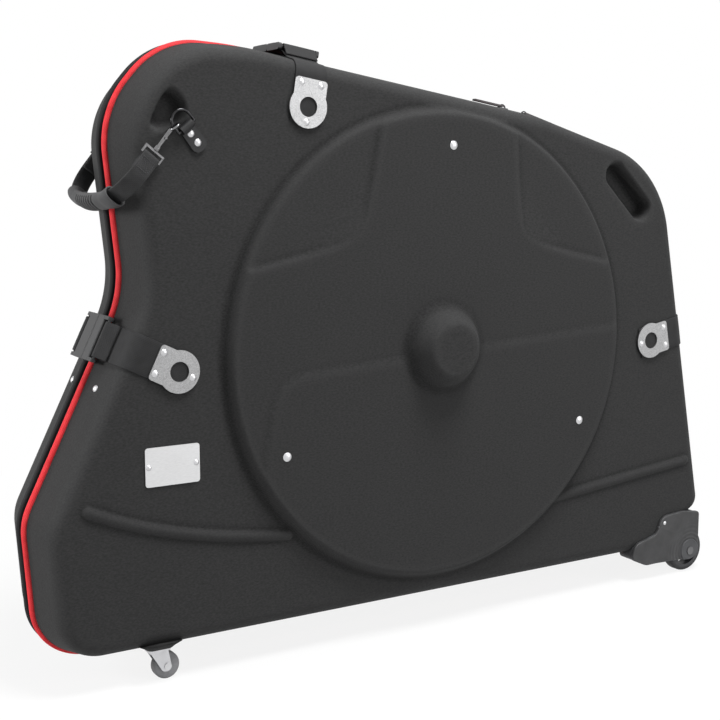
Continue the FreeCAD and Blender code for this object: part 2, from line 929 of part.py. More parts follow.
def ring_tab():
    """A riveted tab whose folded end holds the ring's bar."""
    seat = -face_y - seat_gap - ring_y()
    sole = seat - tab_thickness
    end = ring_leg + tab_length
    half = tab_width / 2
    loop = ring_wire + running_gap + tab_loop_wall
    tongue = [
        (ring_leg, -tab_loop_width / 2, 0),
        (end, -half, tab_round),
        (end, half, tab_round),
        (ring_leg, tab_loop_width / 2, 0),
    ]
    sheet = prism(tongue, lambda a, b: Vector(a, sole, b), ALONG_Y * tab_thickness)
    start = Vector(ring_leg, 0, -tab_loop_width / 2)
    fold = Part.makeCylinder(loop, tab_loop_width, start, ALONG_Z)
    bar = Part.makeCylinder(ring_wire + running_gap, tab_loop_width, start, ALONG_Z)
    tab = sheet.fuse(fold).removeSplitter().cut(bar)
    places = [(ring_leg + tab_rivet_first, 0), (ring_leg + tab_rivet_second, 0)]
    return seated(drilled(tab, places, sole - overrun, 2 * overrun), ring_frame(tab_angle))


def bar_box(low, high, rounding):
    """A flat bar along x with rounded long corners."""
    section = [(low[1], low[2], rounding), (high[1], low[2], rounding), (high[1], high[2], rounding)]
    section.append((low[1], high[2], rounding))
    return prism(section, lambda a, b: Vector(low[0], a, b), Vector(high[0] - low[0], 0, 0))


def hook_foot():
    """Where the hook's eye ends and its shank starts."""
    return ring_frame(hook_angle).multVec(Vector(ring_bow + hook_eye_length / 2, -hook_eye_shift, 0))


def hook_eye():
    """A wire loop round the ring's bow, long enough outward for the ring to lift in it."""
    loop = moved_path(
        rectangle(hook_eye_length / 2, hook_eye_width / 2, hook_eye_round),
        ring_bow, -hook_eye_shift, 0,
    )
    path = outline(loop, lambda a, b: Vector(a, b, 0))
    start = path.Edges[0].valueAt(path.Edges[0].FirstParameter)
    along = path.Edges[0].tangentAt(path.Edges[0].FirstParameter)
    wire = Part.Wire(Part.makeCircle(hook_wire, start, along))
    return seated(path.makePipeShell([wire], True, False), ring_frame(hook_angle))


def snap_hook():
    """Eye, shank with its thumb slide, swivel, and the bail that takes the webbing."""
    neck = hook_length - bail_length - swivel_length
    half = handle_strap_width / 2 + bail_side + seat_gap
    shank = Part.makeCone(hook_shank, swivel_neck, neck, Vector(0, 0, 0), ALONG_X)
    thumb = Part.makeCylinder(hook_wire, hook_thumb, Vector(neck / 2, 0, 0), Vector(0, -1, 0))
    collar = Part.makeCylinder(swivel_radius, swivel_length, Vector(neck, 0, 0), ALONG_X)
    low = hook_length - bail_length
    bar = hook_length - hook_wire
    bail = bar_box((low, -hook_wire, -half), (hook_length, hook_wire, half), bail_round)
    window = box(
        (low + bail_side, -overrun, -half + bail_side),
        (hook_length + overrun, overrun, half - bail_side),
    )
    start = Vector(bar, 0, -half + bail_side / 2)
    end_bar = Part.makeCylinder(bail_bar_radius, 2 * half - bail_side, start, ALONG_Z)
    body = fused([shank, thumb, collar, bail.cut(window), end_bar])
    return fused([hook_eye(), seated(body, FreeCAD.Placement(hook_foot(), turned(handle_angle)))])


def handle_frame():
    """Handle frame: x away from the hooks, y to the rear, both hooks mirrored about y = 0."""
    foot = hook_foot()
    return FreeCAD.Placement(Vector(foot.x, 0, foot.z), turned(handle_angle))


def handle_path():
    """Tail, loop round the bail's bar, run to the shoulder and half of the arch, then the mirror image."""
    loop = bail_bar_radius + seat_gap + handle_strap_thickness / 2
    middle = hook_foot().y
    bar = hook_length - hook_wire
    front = [
        (bar + handle_tail, middle - loop, 0),
        (bar - loop, middle - loop, loop - seat_gap / 4),
        (bar - loop, middle + loop, loop - seat_gap / 4),
        (handle_shoulder, middle + loop, handle_bend),
    ]
    rear = [(a, -b, radius) for a, b, radius in reversed(front)]
    rise = handle_reach - handle_shoulder
    spread = -middle - loop
    room = arch_run_share * math.hypot(rise, spread) * spread / abs(rise)
    return front + [(handle_reach, 0, min(handle_arch, room))] + rear


def handle_webbing(grow):
    half = handle_strap_width / 2 + grow
    thickness = handle_strap_thickness + 2 * grow
    strip = ribbon(handle_path(), thickness, lambda a, b: Vector(a, b, -half), Vector(0, 0, 2 * half))
    return seated(strip, handle_frame())


def grip_section(share, width, thickness):
    y = share * grip_half
    slope = (handle_reach - handle_shoulder) / handle_spread()
    ring = Part.Ellipse(Vector(0, 0, 0), width / 2, thickness / 2).toShape()
    facing = FreeCAD.Rotation(ALONG_Z, ALONG_X, ALONG_Y, "XYZ")
    ring.Placement = FreeCAD.Placement(Vector(handle_reach - grip_sink - abs(y) * slope, y, 0), facing)
    return Part.Wire(ring)


def handle_spread():
    return -hook_foot().y


def handle_grip():
    """A moulded grip with flared ends and cross ribs on its outer side, slotted for the webbing."""
    sections = [
        grip_section(-1, grip_end_width, grip_end_thickness),
        grip_section(-grip_waist_share, grip_waist_width, grip_waist_thickness),
        grip_section(0, grip_waist_width, grip_mid_thickness),
        grip_section(grip_waist_share, grip_waist_width, grip_waist_thickness),
        grip_section(1, grip_end_width, grip_end_thickness),
    ]
    body = Part.makeLoft(sections, True, False)
    floor = handle_reach - grip_sink + grip_waist_thickness / 2 - rib_depth
    grooves = []
    for i in range(rib_count):
        y = (i - (rib_count - 1) / 2) * rib_pitch
        low = (floor, y - rib_slot / 2, -grip_end_width)
        grooves.append(box(low, (floor + overrun, y + rib_slot / 2, grip_end_width)))
    return seated(body.cut(grooves), handle_frame()).cut(handle_webbing(seat_gap))


# Trolley wheel and housing

def roller_disc(radius, width, y):
    x, z = roller_centre()
    return Part.makeCylinder(radius, width, Vector(x, y, z), ALONG_Y)


def trolley_wheel():
    x, z = roller_centre()
    low = -roller_middle - roller_width / 2
    rim = roller_disc(roller_rim_radius, roller_width, low)
    rim = rim.cut(roller_disc(roller_rim_radius - roller_rim_thickness, roller_width, low))
    pieces = [rim, roller_disc(roller_hub_radius, roller_width, low)]
    for i in range(roller_spokes):
        spoke = box(
            (0, -roller_web / 2, -roller_spoke_width / 2),
            (roller_rim_radius - roller_rim_thickness / 2, roller_web / 2, roller_spoke_width / 2),
        )
        angle = 90 + i * 360 / roller_spokes
        spoke.Placement = FreeCAD.Placement(Vector(x, -roller_middle, z), turned(angle))
        pieces.append(spoke)
    return fused(pieces).cut(roller_disc(axle_radius + running_gap, roller_width, low))


def trolley_tyre():
    x, z = roller_centre()
    half = roller_width / 2
    section = [
        (roller_rim_radius, -half, 0),
        (roller_radius, -half, tyre_round),
        (roller_radius, half, tyre_round),
        (roller_rim_radius, half, 0),
    ]
    face = Part.Face(outline(section, lambda a, b: Vector(x + a, -roller_middle + b, z)))
    return face.revolve(Vector(x, 0, z), ALONG_Y, 360)


def trolley_axle():
    outer = -face_y - seat_gap - cheek_thickness - cheek_boss_rise
    inner = -roller_middle + roller_width / 2 + side_room + inner_cheek
    pin = roller_disc(axle_radius, inner - outer, outer)
    heads = [roller_disc(axle_head_radius, axle_head, y) for y in (outer - axle_head, inner)]
    return fused([pin] + heads)


def wheel_housing():
    """A moulded corner: an outer cheek over the face, a web under the cut corner, an inner cheek."""
    x, z = roller_centre()
    cheek = [(x + a * roller_radius, z + b * roller_radius, r * roller_radius) for a, b, r in cheek_shares]
    front = -face_y - seat_gap - cheek_thickness
    inner = -roller_middle + roller_width / 2 + side_room + inner_cheek
    block = prism(cheek, upright(front), ALONG_Y * (inner - front))
    block = rounded_where(block, cheek_edge, lambda edge: all_at_y(edge, front))
    block = block.cut(drafted_form(-seat_gap, seam_half, face_y + seat_gap, face_round))
    cap = Vector(x, front - cheek_boss_rise, z)
    radius = cheek_boss_radius
    boss = Part.makeCone(radius - cheek_boss_rise, radius, cheek_boss_rise, cap, ALONG_Y)
    block = block.fuse(boss.common(prism(cheek, upright(cap.y), ALONG_Y * cheek_boss_rise)))
    well_near = -roller_middle - roller_width / 2 - side_room
    well = roller_disc(roller_radius + roller_room, roller_width + 2 * side_room, well_near)
    bore = roller_disc(axle_radius, inner - front + cheek_boss_rise, front - cheek_boss_rise)
    return drilled(block.removeSplitter().cut([well, bore]), [cheek_rivet_place()], front, cheek_thickness)


# Swivel caster

def caster_x():
    return x_at(caster_x_share)


def fork_top():
    return 2 * caster_wheel_radius + fork_head_room + fork_thickness


def post(radius, low, high):
    return Part.makeCylinder(radius, high - low, Vector(caster_x(), -caster_y, low), ALONG_Z)


def caster_plate():
    """Plate, race and king pin with its riveted head under the fork."""
    half = caster_plate_side / 2
    top = caster_height()
    corners = moved_path(rectangle(half, half, caster_rivet_inset), caster_x(), -caster_y, 0)
    sole = top - caster_plate_thickness
    plate = prism(corners, lambda a, b: Vector(a, b, sole), ALONG_Z * caster_plate_thickness)
    low = fork_top() - fork_thickness - swivel_gap
    race = post(caster_race_radius, fork_top() + swivel_gap, sole)
    pin = post(caster_pin_radius, low, sole)
    head = post(caster_pin_head, low - caster_pin_head_height, low)
    body = fused([plate, race, pin, head])
    holes = []
    for x, y in caster_rivet_places():
        start = Vector(x, y, sole)
        holes.append(Part.makeCylinder(rivet_shank + hole_gap, caster_plate_thickness, start, ALONG_Z))
    return body.cut(holes)


def fork_half_width():
    return caster_wheel_width / 2 + fork_side_room + fork_thickness


def caster_fork():
    """A pressed fork: a crown under the race and two legs that trail to the axle."""
    x = caster_x()
    low = fork_top() - fork_thickness
    foot = x + caster_trail
    leg = [
        (foot - fork_foot_radius, caster_wheel_radius - fork_foot_radius, fork_foot_radius - seat_gap),
        (foot + fork_foot_radius, caster_wheel_radius - fork_foot_radius, fork_foot_radius - seat_gap),
        (x + fork_half_length, fork_top(), 0),
        (x - fork_half_length, fork_top(), 0),
    ]
    half = fork_half_width()
    legs = []
    for side in (-half, half - fork_thickness):
        legs.append(prism(leg, upright(-caster_y + side), ALONG_Y * fork_thickness))
    reach = fork_half_length
    crown = box((x - reach, -caster_y - half, low), (x + reach, -caster_y + half, fork_top()))
    fork = fused([crown] + legs)
    fork = fork.cut(post(caster_pin_radius + running_gap, low, fork_top()))
    return fork.cut(caster_axle_pin(caster_axle_radius))


def caster_axle_pin(radius):
    half = fork_half_width()
    start = Vector(caster_x() + caster_trail, -caster_y - half, caster_wheel_radius)
    return Part.makeCylinder(radius, 2 * half, start, ALONG_Y)


def caster_axle():
    half = fork_half_width()
    pieces = [caster_axle_pin(caster_axle_radius)]
    for y in (-caster_y - half - axle_head, -caster_y + half):
        start = Vector(caster_x() + caster_trail, y, caster_wheel_radius)
        pieces.append(Part.makeCylinder(caster_axle_head, axle_head, start, ALONG_Y))
    return fused(pieces)


def caster_wheel():
    x = caster_x() + caster_trail
    half = caster_wheel_width / 2
    radius = caster_wheel_radius
    bore = caster_axle_radius + running_gap
    section = [
        (bore, -half, 0),
        (radius, -half, caster_tread_round),
        (radius, half, caster_tread_round),
        (bore, half, 0),
    ]
    face = Part.Face(outline(section, lambda a, b: Vector(x + a, -caster_y + b, radius)))
    return face.revolve(Vector(x, 0, radius), ALONG_Y, 360)


# Zip sliders and pulls, in the frame of their rim edge

def slider_seat():
    return -tape_inset + coil_height + swivel_gap


def zip_slider():
    """A slider that grips the rear rim's coil and only covers the front one, so that the lid can open."""
    half = slider_length / 2
    side = slider_width / 2
    nose = side * slider_nose_share
    plan = [(-half, -nose, slider_round), (half, -side, slider_round), (half, side, slider_round)]
    plan.append((-half, nose, slider_round))
    low = -tape_inset + swivel_gap
    body = prism(plan, lambda a, b: Vector(a, b, low), ALONG_Z * (slider_top - low))
    reach = tape_edge + coil_width + swivel_gap
    channel = box((-slider_length, -slider_width, low - overrun), (slider_length, reach, slider_seat()))
    crown = Part.makeTorus(crown_radius, crown_wire, Vector(0, 0, slider_top - crown_wire), ALONG_Y)
    foot = slider_top - crown_wire
    crown = crown.common(box((-half, -crown_wire, foot), (half, crown_wire, foot + 2 * crown_radius)))
    return fused([body.cut(channel), crown])


def zip_pull():
    """A pull whose pin lies under the slider's crown; x points along the tab."""
    level = slider_top + pull_pin_height
    low = level - pull_thickness / 2
    half = pull_width / 2
    pin = Part.makeCylinder(pull_pin, pull_width - pull_arm, Vector(0, -half + pull_arm / 2, level), ALONG_Y)
    reach = pull_length / 2
    tab = moved_path(rectangle(reach, half, pull_round), reach - pull_arm, 0, 0)
    sheet = prism(tab, lambda a, b: Vector(a, b, low), ALONG_Z * pull_thickness)
    window = half - pull_arm
    gap = box((-overrun, -window, low), (pull_arm_length, window, low + pull_thickness))
    over = slider_length / 2 + pull_arm
    lift = box((-overrun, -pull_width, low - overrun), (over, pull_width, slider_top + swivel_gap))
    return fused([sheet.cut(gap).cut(lift), pin])


def main():
    os.makedirs("parts", exist_ok=True)
    nodes = {}
    halves = {
        "shell": shell(),
        "piping": piping(),
        "zip_tape": zip_tape(),
        "hinge_flap": hinge_flap(),
        "rivets": rivets(),
        "wheel_ties": wheel_ties(),
        "ring_tab": ring_tab(),
        "d_ring": d_ring(),
        "snap_hook": snap_hook(),
        "wheel_housing": wheel_housing(),
        "axle": trolley_axle(),
        "trolley_wheel": trolley_wheel(),
        "trolley_tyre": trolley_tyre(),
        "caster_plate": caster_plate(),
        "caster_fork": caster_fork(),
        "caster_axle": caster_axle(),
        "caster_wheel": caster_wheel(),
    }
    for name in strap_sites:
        frame, eye_inset = strap_frame(name)
        places = plate_rivet_places(eye_inset)
        top = plate_y() - plate_thickness
        plate = drilled(anchor_plate(eye_inset), places, top, plate_thickness)
        webbing = drilled(strap(eye_inset), places, plate_y(), strap_thickness + 2 * seat_gap)
        halves[name + "_plate"] = seated(plate, frame)
        halves[name + "_strap"] = seated(webbing, frame)
        nodes[name + "_buckle_plug"] = seated(buckle_plug(), frame)
        nodes[name + "_buckle_socket"] = seated(buckle_socket(), frame)
    for name, shape in halves.items():
        nodes["front_" + name] = shape
        nodes["rear_" + name] = rear_of(shape)
    nodes["name_plate"] = name_plate()
    nodes["front_shell"] = halves["shell"].cut([hole(head, grip) for head, radius, grip in name_rivets()])
    plate_studs = [rivet(head, radius, grip) for head, radius, grip in name_rivets()]
    nodes["front_rivets"] = Part.makeCompound(halves["rivets"].Solids + plate_studs)
    nodes["handle_webbing"] = handle_webbing(0.0)
    nodes["handle_grip"] = handle_grip()
    left = edge_frame("top_bend", "top_start", left_slider_share)
    right = edge_frame("upper_right", "top_bend", 1 - right_slider_share)
    back = FreeCAD.Placement(Vector(0, 0, 0), FreeCAD.Rotation(ALONG_Z, 180))
    nodes["left_zip_slider"] = seated(zip_slider(), left)
    nodes["left_zip_pull"] = seated(zip_pull(), left.multiply(back))
    nodes["right_zip_slider"] = seated(zip_slider().mirror(Vector(0, 0, 0), ALONG_X), right)
    nodes["right_zip_pull"] = seated(zip_pull(), right)
    whole = FreeCAD.BoundBox()
    for name, shape in sorted(nodes.items()):
        shape.exportStep("parts/" + name + ".step")
        whole.add(shape.BoundBox)
        print(name, len(shape.Solids), shape.isValid(), round(shape.Volume))
    print("box", whole)


main()
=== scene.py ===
# %% [markdown]
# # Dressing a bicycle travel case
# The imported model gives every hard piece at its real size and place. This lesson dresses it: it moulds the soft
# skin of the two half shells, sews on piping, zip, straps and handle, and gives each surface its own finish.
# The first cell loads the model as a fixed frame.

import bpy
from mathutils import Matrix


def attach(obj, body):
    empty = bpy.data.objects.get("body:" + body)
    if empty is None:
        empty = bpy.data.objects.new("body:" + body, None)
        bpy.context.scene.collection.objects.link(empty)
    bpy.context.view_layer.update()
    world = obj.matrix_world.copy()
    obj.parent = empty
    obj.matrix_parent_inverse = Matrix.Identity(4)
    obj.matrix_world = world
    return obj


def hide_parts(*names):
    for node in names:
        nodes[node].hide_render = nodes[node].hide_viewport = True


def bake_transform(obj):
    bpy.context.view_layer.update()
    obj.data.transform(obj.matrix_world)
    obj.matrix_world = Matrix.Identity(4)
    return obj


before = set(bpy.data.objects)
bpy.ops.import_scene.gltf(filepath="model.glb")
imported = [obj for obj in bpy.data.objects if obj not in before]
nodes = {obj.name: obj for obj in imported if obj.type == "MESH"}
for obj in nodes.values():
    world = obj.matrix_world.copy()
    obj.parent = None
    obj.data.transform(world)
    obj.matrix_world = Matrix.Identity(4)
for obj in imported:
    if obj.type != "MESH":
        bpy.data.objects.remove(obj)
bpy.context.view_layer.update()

import math

import bpy
import numpy as np
from mathutils import Vector, geometry

MM = 0.001


def put(name, data):
    """A new object in the scene, made of the given data."""
    made = bpy.data.objects.new(name, data)
    bpy.context.scene.collection.objects.link(made)
    return made


# %% [markdown]
# The camera stands to the left of the case and a little above its middle, looking right and slightly down.
# Its place and lens come from the ellipse that the raised disc makes in the photograph, so no shift is needed.

# %% Camera
camera = put("camera", bpy.data.cameras.new("camera"))
camera.location = (-1.0667, -1.6523, 0.6820)
camera.rotation_euler = (math.radians(90 - 8.11), 0, math.radians(-31.29))
camera.data.lens = 64.54
camera.data.sensor_width = 36
bpy.context.scene.camera = camera
bpy.context.scene.view_settings.view_transform = "Standard"
print("camera at", tuple(camera.location))

# %% [markdown]
# Every finish, and the backdrop too, is a tree of shader nodes. These helpers keep the trees short: `add` puts in a
# node with its sockets set, `maths` is one step of arithmetic, and `finish` starts a material. `paint`, `roughen`
# and `bump` drive its colour, its roughness and its normal by a texture. Textures read the object's own coordinates
# in metres, so a weave has its real pitch wherever it lies.

# %% Finish helpers
def add(tree, kind, inputs=(), **settings):
    node = tree.nodes.new(kind)
    for key, value in settings.items():
        setattr(node, key, value)
    for socket, value in dict(inputs).items():
        if isinstance(value, bpy.types.NodeSocket):
            tree.links.new(value, node.inputs[socket])
        else:
            node.inputs[socket].default_value = value
    return node


def maths(tree, operation, *values):
    return add(tree, "ShaderNodeMath", dict(enumerate(values)), operation=operation).outputs[0]


def finish(name, coordinates="Object", **sockets):
    """A material, its tree, its shader and the coordinates that its textures read."""
    material = bpy.data.materials.new(name)
    material.use_nodes = True
    tree = material.node_tree
    shader = tree.nodes["Principled BSDF"]
    for socket, value in sockets.items():
        shader.inputs[socket.replace("_", " ").title().replace("Ior", "IOR")].default_value = value
    return material, tree, shader, add(tree, "ShaderNodeTexCoord").outputs[coordinates]


def paint(tree, shader, factor, low, high, start=0.0, end=1.0):
    """Colour between two colours, by a texture that runs from start to end."""
    ramp = add(tree, "ShaderNodeValToRGB", {"Fac": factor})
    for element, colour, position in zip(ramp.color_ramp.elements, (low, high), (start, end)):
        element.color = (*colour, 1)
        element.position = position
    tree.links.new(ramp.outputs[0], shader.inputs["Base Color"])


def roughen(tree, shader, value, low, high):
    """Roughness between two limits, by a texture that runs from 0 to 1."""
    mapped = add(tree, "ShaderNodeMapRange", {"Value": value, "To Min": low, "To Max": high})
    tree.links.new(mapped.outputs[0], shader.inputs["Roughness"])


def bump(tree, shader, height, depth, strength):
    made = add(tree, "ShaderNodeBump", {"Height": height, "Distance": depth, "Strength": strength})
    tree.links.new(made.outputs[0], shader.inputs["Normal"])
    return made


def noise(tree, coordinates, scale, detail=3.0):
    return add(tree, "ShaderNodeTexNoise", {"Vector": coordinates, "Scale": scale, "Detail": detail}).outputs[0]


def threads(tree, coordinates, direction, pitch):
    """Rows of threads across a direction: 1 on the crown of a thread and 0 between two."""
    along = add(tree, "ShaderNodeVectorMath", {0: coordinates, 1: direction}, operation="DOT_PRODUCT")
    phase = maths(tree, "MULTIPLY", along.outputs["Value"], 2 * math.pi / pitch)
    return maths(tree, "MULTIPLY_ADD", maths(tree, "SINE", phase), 0.5, 0.5)


print("finish helpers ready")

# %% [markdown]
# A dark object needs light to draw its edges. A large lamp overhead grazes the upper edges of every raised form, a
# wide one far to the right leaves the left flanks dark, and one behind the left edge draws the walls. The world is
# plain grey; only the camera and mirror-like metal see it as white, so the white backdrop adds no light to the case.
# The floor fades into the same white with distance, which hides the horizon and keeps the shadow under the case.
# Seen from below the floor is clear, so that the wheels and the hinge can be looked at.

# %% Floor, backdrop and lamps
def lamp(name, location, target, size, power):
    data = bpy.data.lights.new(name, "AREA")
    data.shape = "DISK"
    data.size = size
    data.energy = power
    made = put(name, data)
    made.location = location
    made.rotation_euler = (Vector(target) - Vector(location)).to_track_quat("-Z", "Y").to_euler()


def seen_white(tree):
    """A factor that is 1 for camera, mirror and glass rays, and 0 for the rays that light things."""
    ray = add(tree, "ShaderNodeLightPath").outputs
    seen = maths(tree, "MAXIMUM", ray["Is Camera Ray"], ray["Is Glossy Ray"])
    return maths(tree, "MAXIMUM", seen, ray["Is Transmission Ray"])


def mixed(tree, factor, first, second):
    """The first shader where the factor is 0, the second where it is 1."""
    return add(tree, "ShaderNodeMixShader", {0: factor, 1: first, 2: second}).outputs[0]


WHITE = (1, 1, 1, 1)
world = bpy.data.worlds.new("studio")
bpy.context.scene.world = world
world.use_nodes = True
sky = world.node_tree
dim = sky.nodes["Background"]
dim.inputs["Color"].default_value = (0.86, 0.87, 0.88, 1)
dim.inputs["Strength"].default_value = 0.20
white = add(sky, "ShaderNodeBackground", {"Color": WHITE, "Strength": 1.0})
backdrop = mixed(sky, seen_white(sky), dim.outputs[0], white.outputs[0])
sky.links.new(backdrop, sky.nodes["World Output"].inputs["Surface"])

lamp("key_lamp", (0.2, -1.0, 3.1), (0, 0, 0.45), 1.2, 95)
lamp("front_lamp", (1.8, -2.7, 1.3), (0, 0, 0.4), 2.0, 36)
lamp("edge_lamp", (-2.7, 0.3, 1.1), (-0.5, 0, 0.4), 1.0, 44)

floor_mesh = bpy.data.meshes.new("floor")
floor_mesh.from_pydata([(-9, -9, 0), (9, -9, 0), (9, 9, 0), (-9, 9, 0)], [], [(0, 1, 2, 3)])
floor = put("floor", floor_mesh)
floor_finish, ground, plain, spot = finish("pale_floor", base_color=(0.56, 0.56, 0.56, 1), roughness=0.8)
pale = add(ground, "ShaderNodeBsdfDiffuse", {"Color": (0.94, 0.94, 0.94, 1)})
glow = add(ground, "ShaderNodeEmission", {"Color": WHITE, "Strength": 1.0})
reach = add(ground, "ShaderNodeVectorMath", {0: spot}, operation="LENGTH").outputs["Value"]
fade_limits = {"From Min": 0.5, "From Max": 1.3, "To Min": 0.86, "To Max": 1.0}
fade = add(ground, "ShaderNodeMapRange", {"Value": reach, **fade_limits}, interpolation_type="SMOOTHSTEP")
seen_floor = mixed(ground, fade.outputs[0], pale.outputs[0], glow.outputs[0])
upper_side = mixed(ground, seen_white(ground), plain.outputs[0], seen_floor)
from_below = add(ground, "ShaderNodeNewGeometry").outputs["Backfacing"]
clear = add(ground, "ShaderNodeBsdfTransparent").outputs[0]
surface = mixed(ground, from_below, upper_side, clear)
ground.links.new(surface, ground.nodes["Material Output"].inputs["Surface"])
floor_mesh.materials.append(floor_finish)
print("lamps and floor set")

# %% [markdown]
# The shell's skin is a matte nylon weave bonded to foam. Two sets of threads cross at a slant, dust lies unevenly in
# them, and the threads are a little lighter on their crowns. A point attribute on the mesh adds painted shade in its
# hollows and pockets and painted highlight on its ridges. Webbing and tape have UVs that run along and across the
# strip in metres, so their ribs follow the strip round every bend.

# %% Woven finishes
def woven_skin(name, dark, light, pitch):
    material, tree, shader, place = finish(name, specular_ior_level=0.18)
    weft = threads(tree, place, (1, 0.6, 1), pitch)
    warp = threads(tree, place, (1, -0.6, -1), pitch)
    weave = maths(tree, "MAXIMUM", maths(tree, "MULTIPLY", weft, weft), maths(tree, "MULTIPLY", warp, warp))
    long = add(tree, "ShaderNodeMapping", {"Vector": place, "Scale": (250.0, 480.0, 480.0)})
    slubs = noise(tree, long.outputs[0], 1.0)
    dust = noise(tree, place, 9.0, 4.0)
    # Painted shade and highlight: a point attribute, above 0 in hollows and pockets and below 0 on ridges, darkens or
    # lightens the colour.
    painted_shading = add(tree, "ShaderNodeAttribute", attribute_name="painted_shading").outputs["Fac"]
    cloth = maths(tree, "MULTIPLY_ADD", weave, 0.30, -0.16)
    slubbed = maths(tree, "MULTIPLY_ADD", slubs, 0.85, cloth)
    uneven = maths(tree, "MULTIPLY_ADD", dust, 0.16, slubbed)
    paint(tree, shader, maths(tree, "MULTIPLY_ADD", painted_shading, -0.45, uneven), dark, light)
    roughen(tree, shader, dust, 0.72, 0.86)
    bump(tree, shader, maths(tree, "MULTIPLY_ADD", slubs, 0.5, weave), 0.00014, 0.7)
    return material


def woven_strip(name, dark, light, rib=0.0020, pick=0.0014):
    """Webbing: ribs along the strip, and finer picks across it, in UV metres."""
    material, tree, shader, place = finish(name, "UV", specular_ior_level=0.25)
    ribs = threads(tree, place, (0, 1, 0), rib)
    picks = threads(tree, place, (1, 0, 0), pick)
    chevron = threads(tree, place, (1, 0.8, 0), rib * 1.6)
    crossing = maths(tree, "MULTIPLY_ADD", picks, 0.45, 0.55)
    weave = maths(tree, "MULTIPLY", maths(tree, "MAXIMUM", ribs, chevron), crossing)
    wear = noise(tree, place, 60.0, 4.0)
    paint(tree, shader, maths(tree, "MULTIPLY_ADD", weave, 0.35, wear), dark, light, start=0.4)
    roughen(tree, shader, wear, 0.55, 0.8)
    bump(tree, shader, weave, 0.0003, 0.7)
    return material


shell_skin = woven_skin("black_woven_skin", (0.010, 0.010, 0.0101), (0.050, 0.050, 0.0503), 0.0016)
lining = woven_skin("black_lining", (0.016, 0.016, 0.017), (0.036, 0.036, 0.038), 0.0022)
webbing = woven_strip("black_webbing", (0.010, 0.010, 0.0104), (0.027, 0.027, 0.028))
handle_weave = woven_strip("handle_webbing", (0.018, 0.018, 0.0185), (0.046, 0.046, 0.047))
zip_cloth = woven_strip("zip_cloth", (0.006, 0.006, 0.0065), (0.022, 0.022, 0.023), 0.0012, 0.0010)
red_piping = woven_strip("red_piping", (0.56, 0.016, 0.022), (0.90, 0.050, 0.060))
black_piping = woven_strip("black_piping", (0.006, 0.006, 0.0065), (0.018, 0.018, 0.019))
stitch_thread = woven_strip("stitch_thread", (0.03, 0.03, 0.031), (0.10, 0.10, 0.105), 0.0006, 0.0004)
print("nodes in the skin's tree:", len(shell_skin.node_tree.nodes))

# %% [markdown]
# Metal shows its making. The anchor plates are sand-blasted sheet with an even sparkle, and the name plate is
# brushed, so its grain is stretched along one way. Zinc parts have a cloudy crystal bloom, and rivets are polished,
# with only faint handling marks.

# %% Metal finishes
def brushed(name, low, high, stretch, rough):
    material, tree, shader, place = finish(name, metallic=1.0)
    long = add(tree, "ShaderNodeMapping", {"Vector": place, "Scale": stretch})
    lines = noise(tree, long.outputs[0], 1.0, 5.0)
    paint(tree, shader, lines, low, high, start=0.3, end=0.7)
    roughen(tree, shader, noise(tree, place, 40.0), *rough)
    bump(tree, shader, lines, 0.00008, 0.5)
    return material


def zinc(name, low, high, rough=(0.26, 0.46)):
    material, tree, shader, place = finish(name, metallic=1.0)
    crystals = add(tree, "ShaderNodeTexVoronoi", {"Vector": place, "Scale": 420.0}).outputs["Distance"]
    cloud = noise(tree, place, 90.0, 4.0)
    paint(tree, shader, cloud, low, high)
    roughen(tree, shader, crystals, *rough)
    bump(tree, shader, cloud, 0.00006, 0.4)
    return material


plate_steel = brushed("blasted_plate", (0.24, 0.24, 0.242), (0.40, 0.40, 0.404), (900, 900, 900), (0.36, 0.54))
name_steel = brushed(
    "brushed_name_plate", (0.58, 0.58, 0.585), (0.68, 0.68, 0.685), (160, 160, 2400), (0.34, 0.48))
zinc_steel = zinc("zinc_steel", (0.46, 0.46, 0.47), (0.68, 0.68, 0.70))
rivet_steel = zinc("polished_rivet", (0.52, 0.52, 0.53), (0.68, 0.68, 0.69))
axle_steel = zinc("axle_steel", (0.10, 0.10, 0.102), (0.22, 0.22, 0.224))
gunmetal = zinc("gunmetal", (0.09, 0.09, 0.092), (0.30, 0.30, 0.305), (0.08, 0.20))
black_metal = zinc("black_enamel", (0.012, 0.012, 0.013), (0.060, 0.060, 0.061), (0.10, 0.24))
print("nodes in the name plate's tree:", len(name_steel.node_tree.nodes))

# %% [markdown]
# Moulded plastic has a spark-eroded grain and slightly paler edges where it is handled; rubber is rougher and has
# larger pores. Both use a fine noise as bump and a broad one for uneven sheen. Where a mesh carries a point attribute
# of painted shade, as the grip does in its slots, it darkens the colour.

# %% Plastic and rubber finishes
def moulded(name, dark, light, grain, rough, depth, low=0.3):
    material, tree, shader, place = finish(name, specular_ior_level=0.3)
    smears = noise(tree, place, 45.0, 4.0)
    edge = add(tree, "ShaderNodeNewGeometry").outputs["Pointiness"]
    worn = add(tree, "ShaderNodeMapRange", {"Value": edge, "From Min": 0.50, "From Max": 0.58, "To Max": 0.35})
    tint = maths(tree, "ADD", smears, worn.outputs[0])
    # Painted shade: a point attribute, set in the grip's slots, darkens the colour.
    painted_shading = add(tree, "ShaderNodeAttribute", attribute_name="painted_shading").outputs["Fac"]
    paint(tree, shader, maths(tree, "SUBTRACT", tint, painted_shading), dark, light, start=low)
    roughen(tree, shader, smears, *rough)
    bump(tree, shader, noise(tree, place, grain, 2.0), depth, 0.6)
    return material


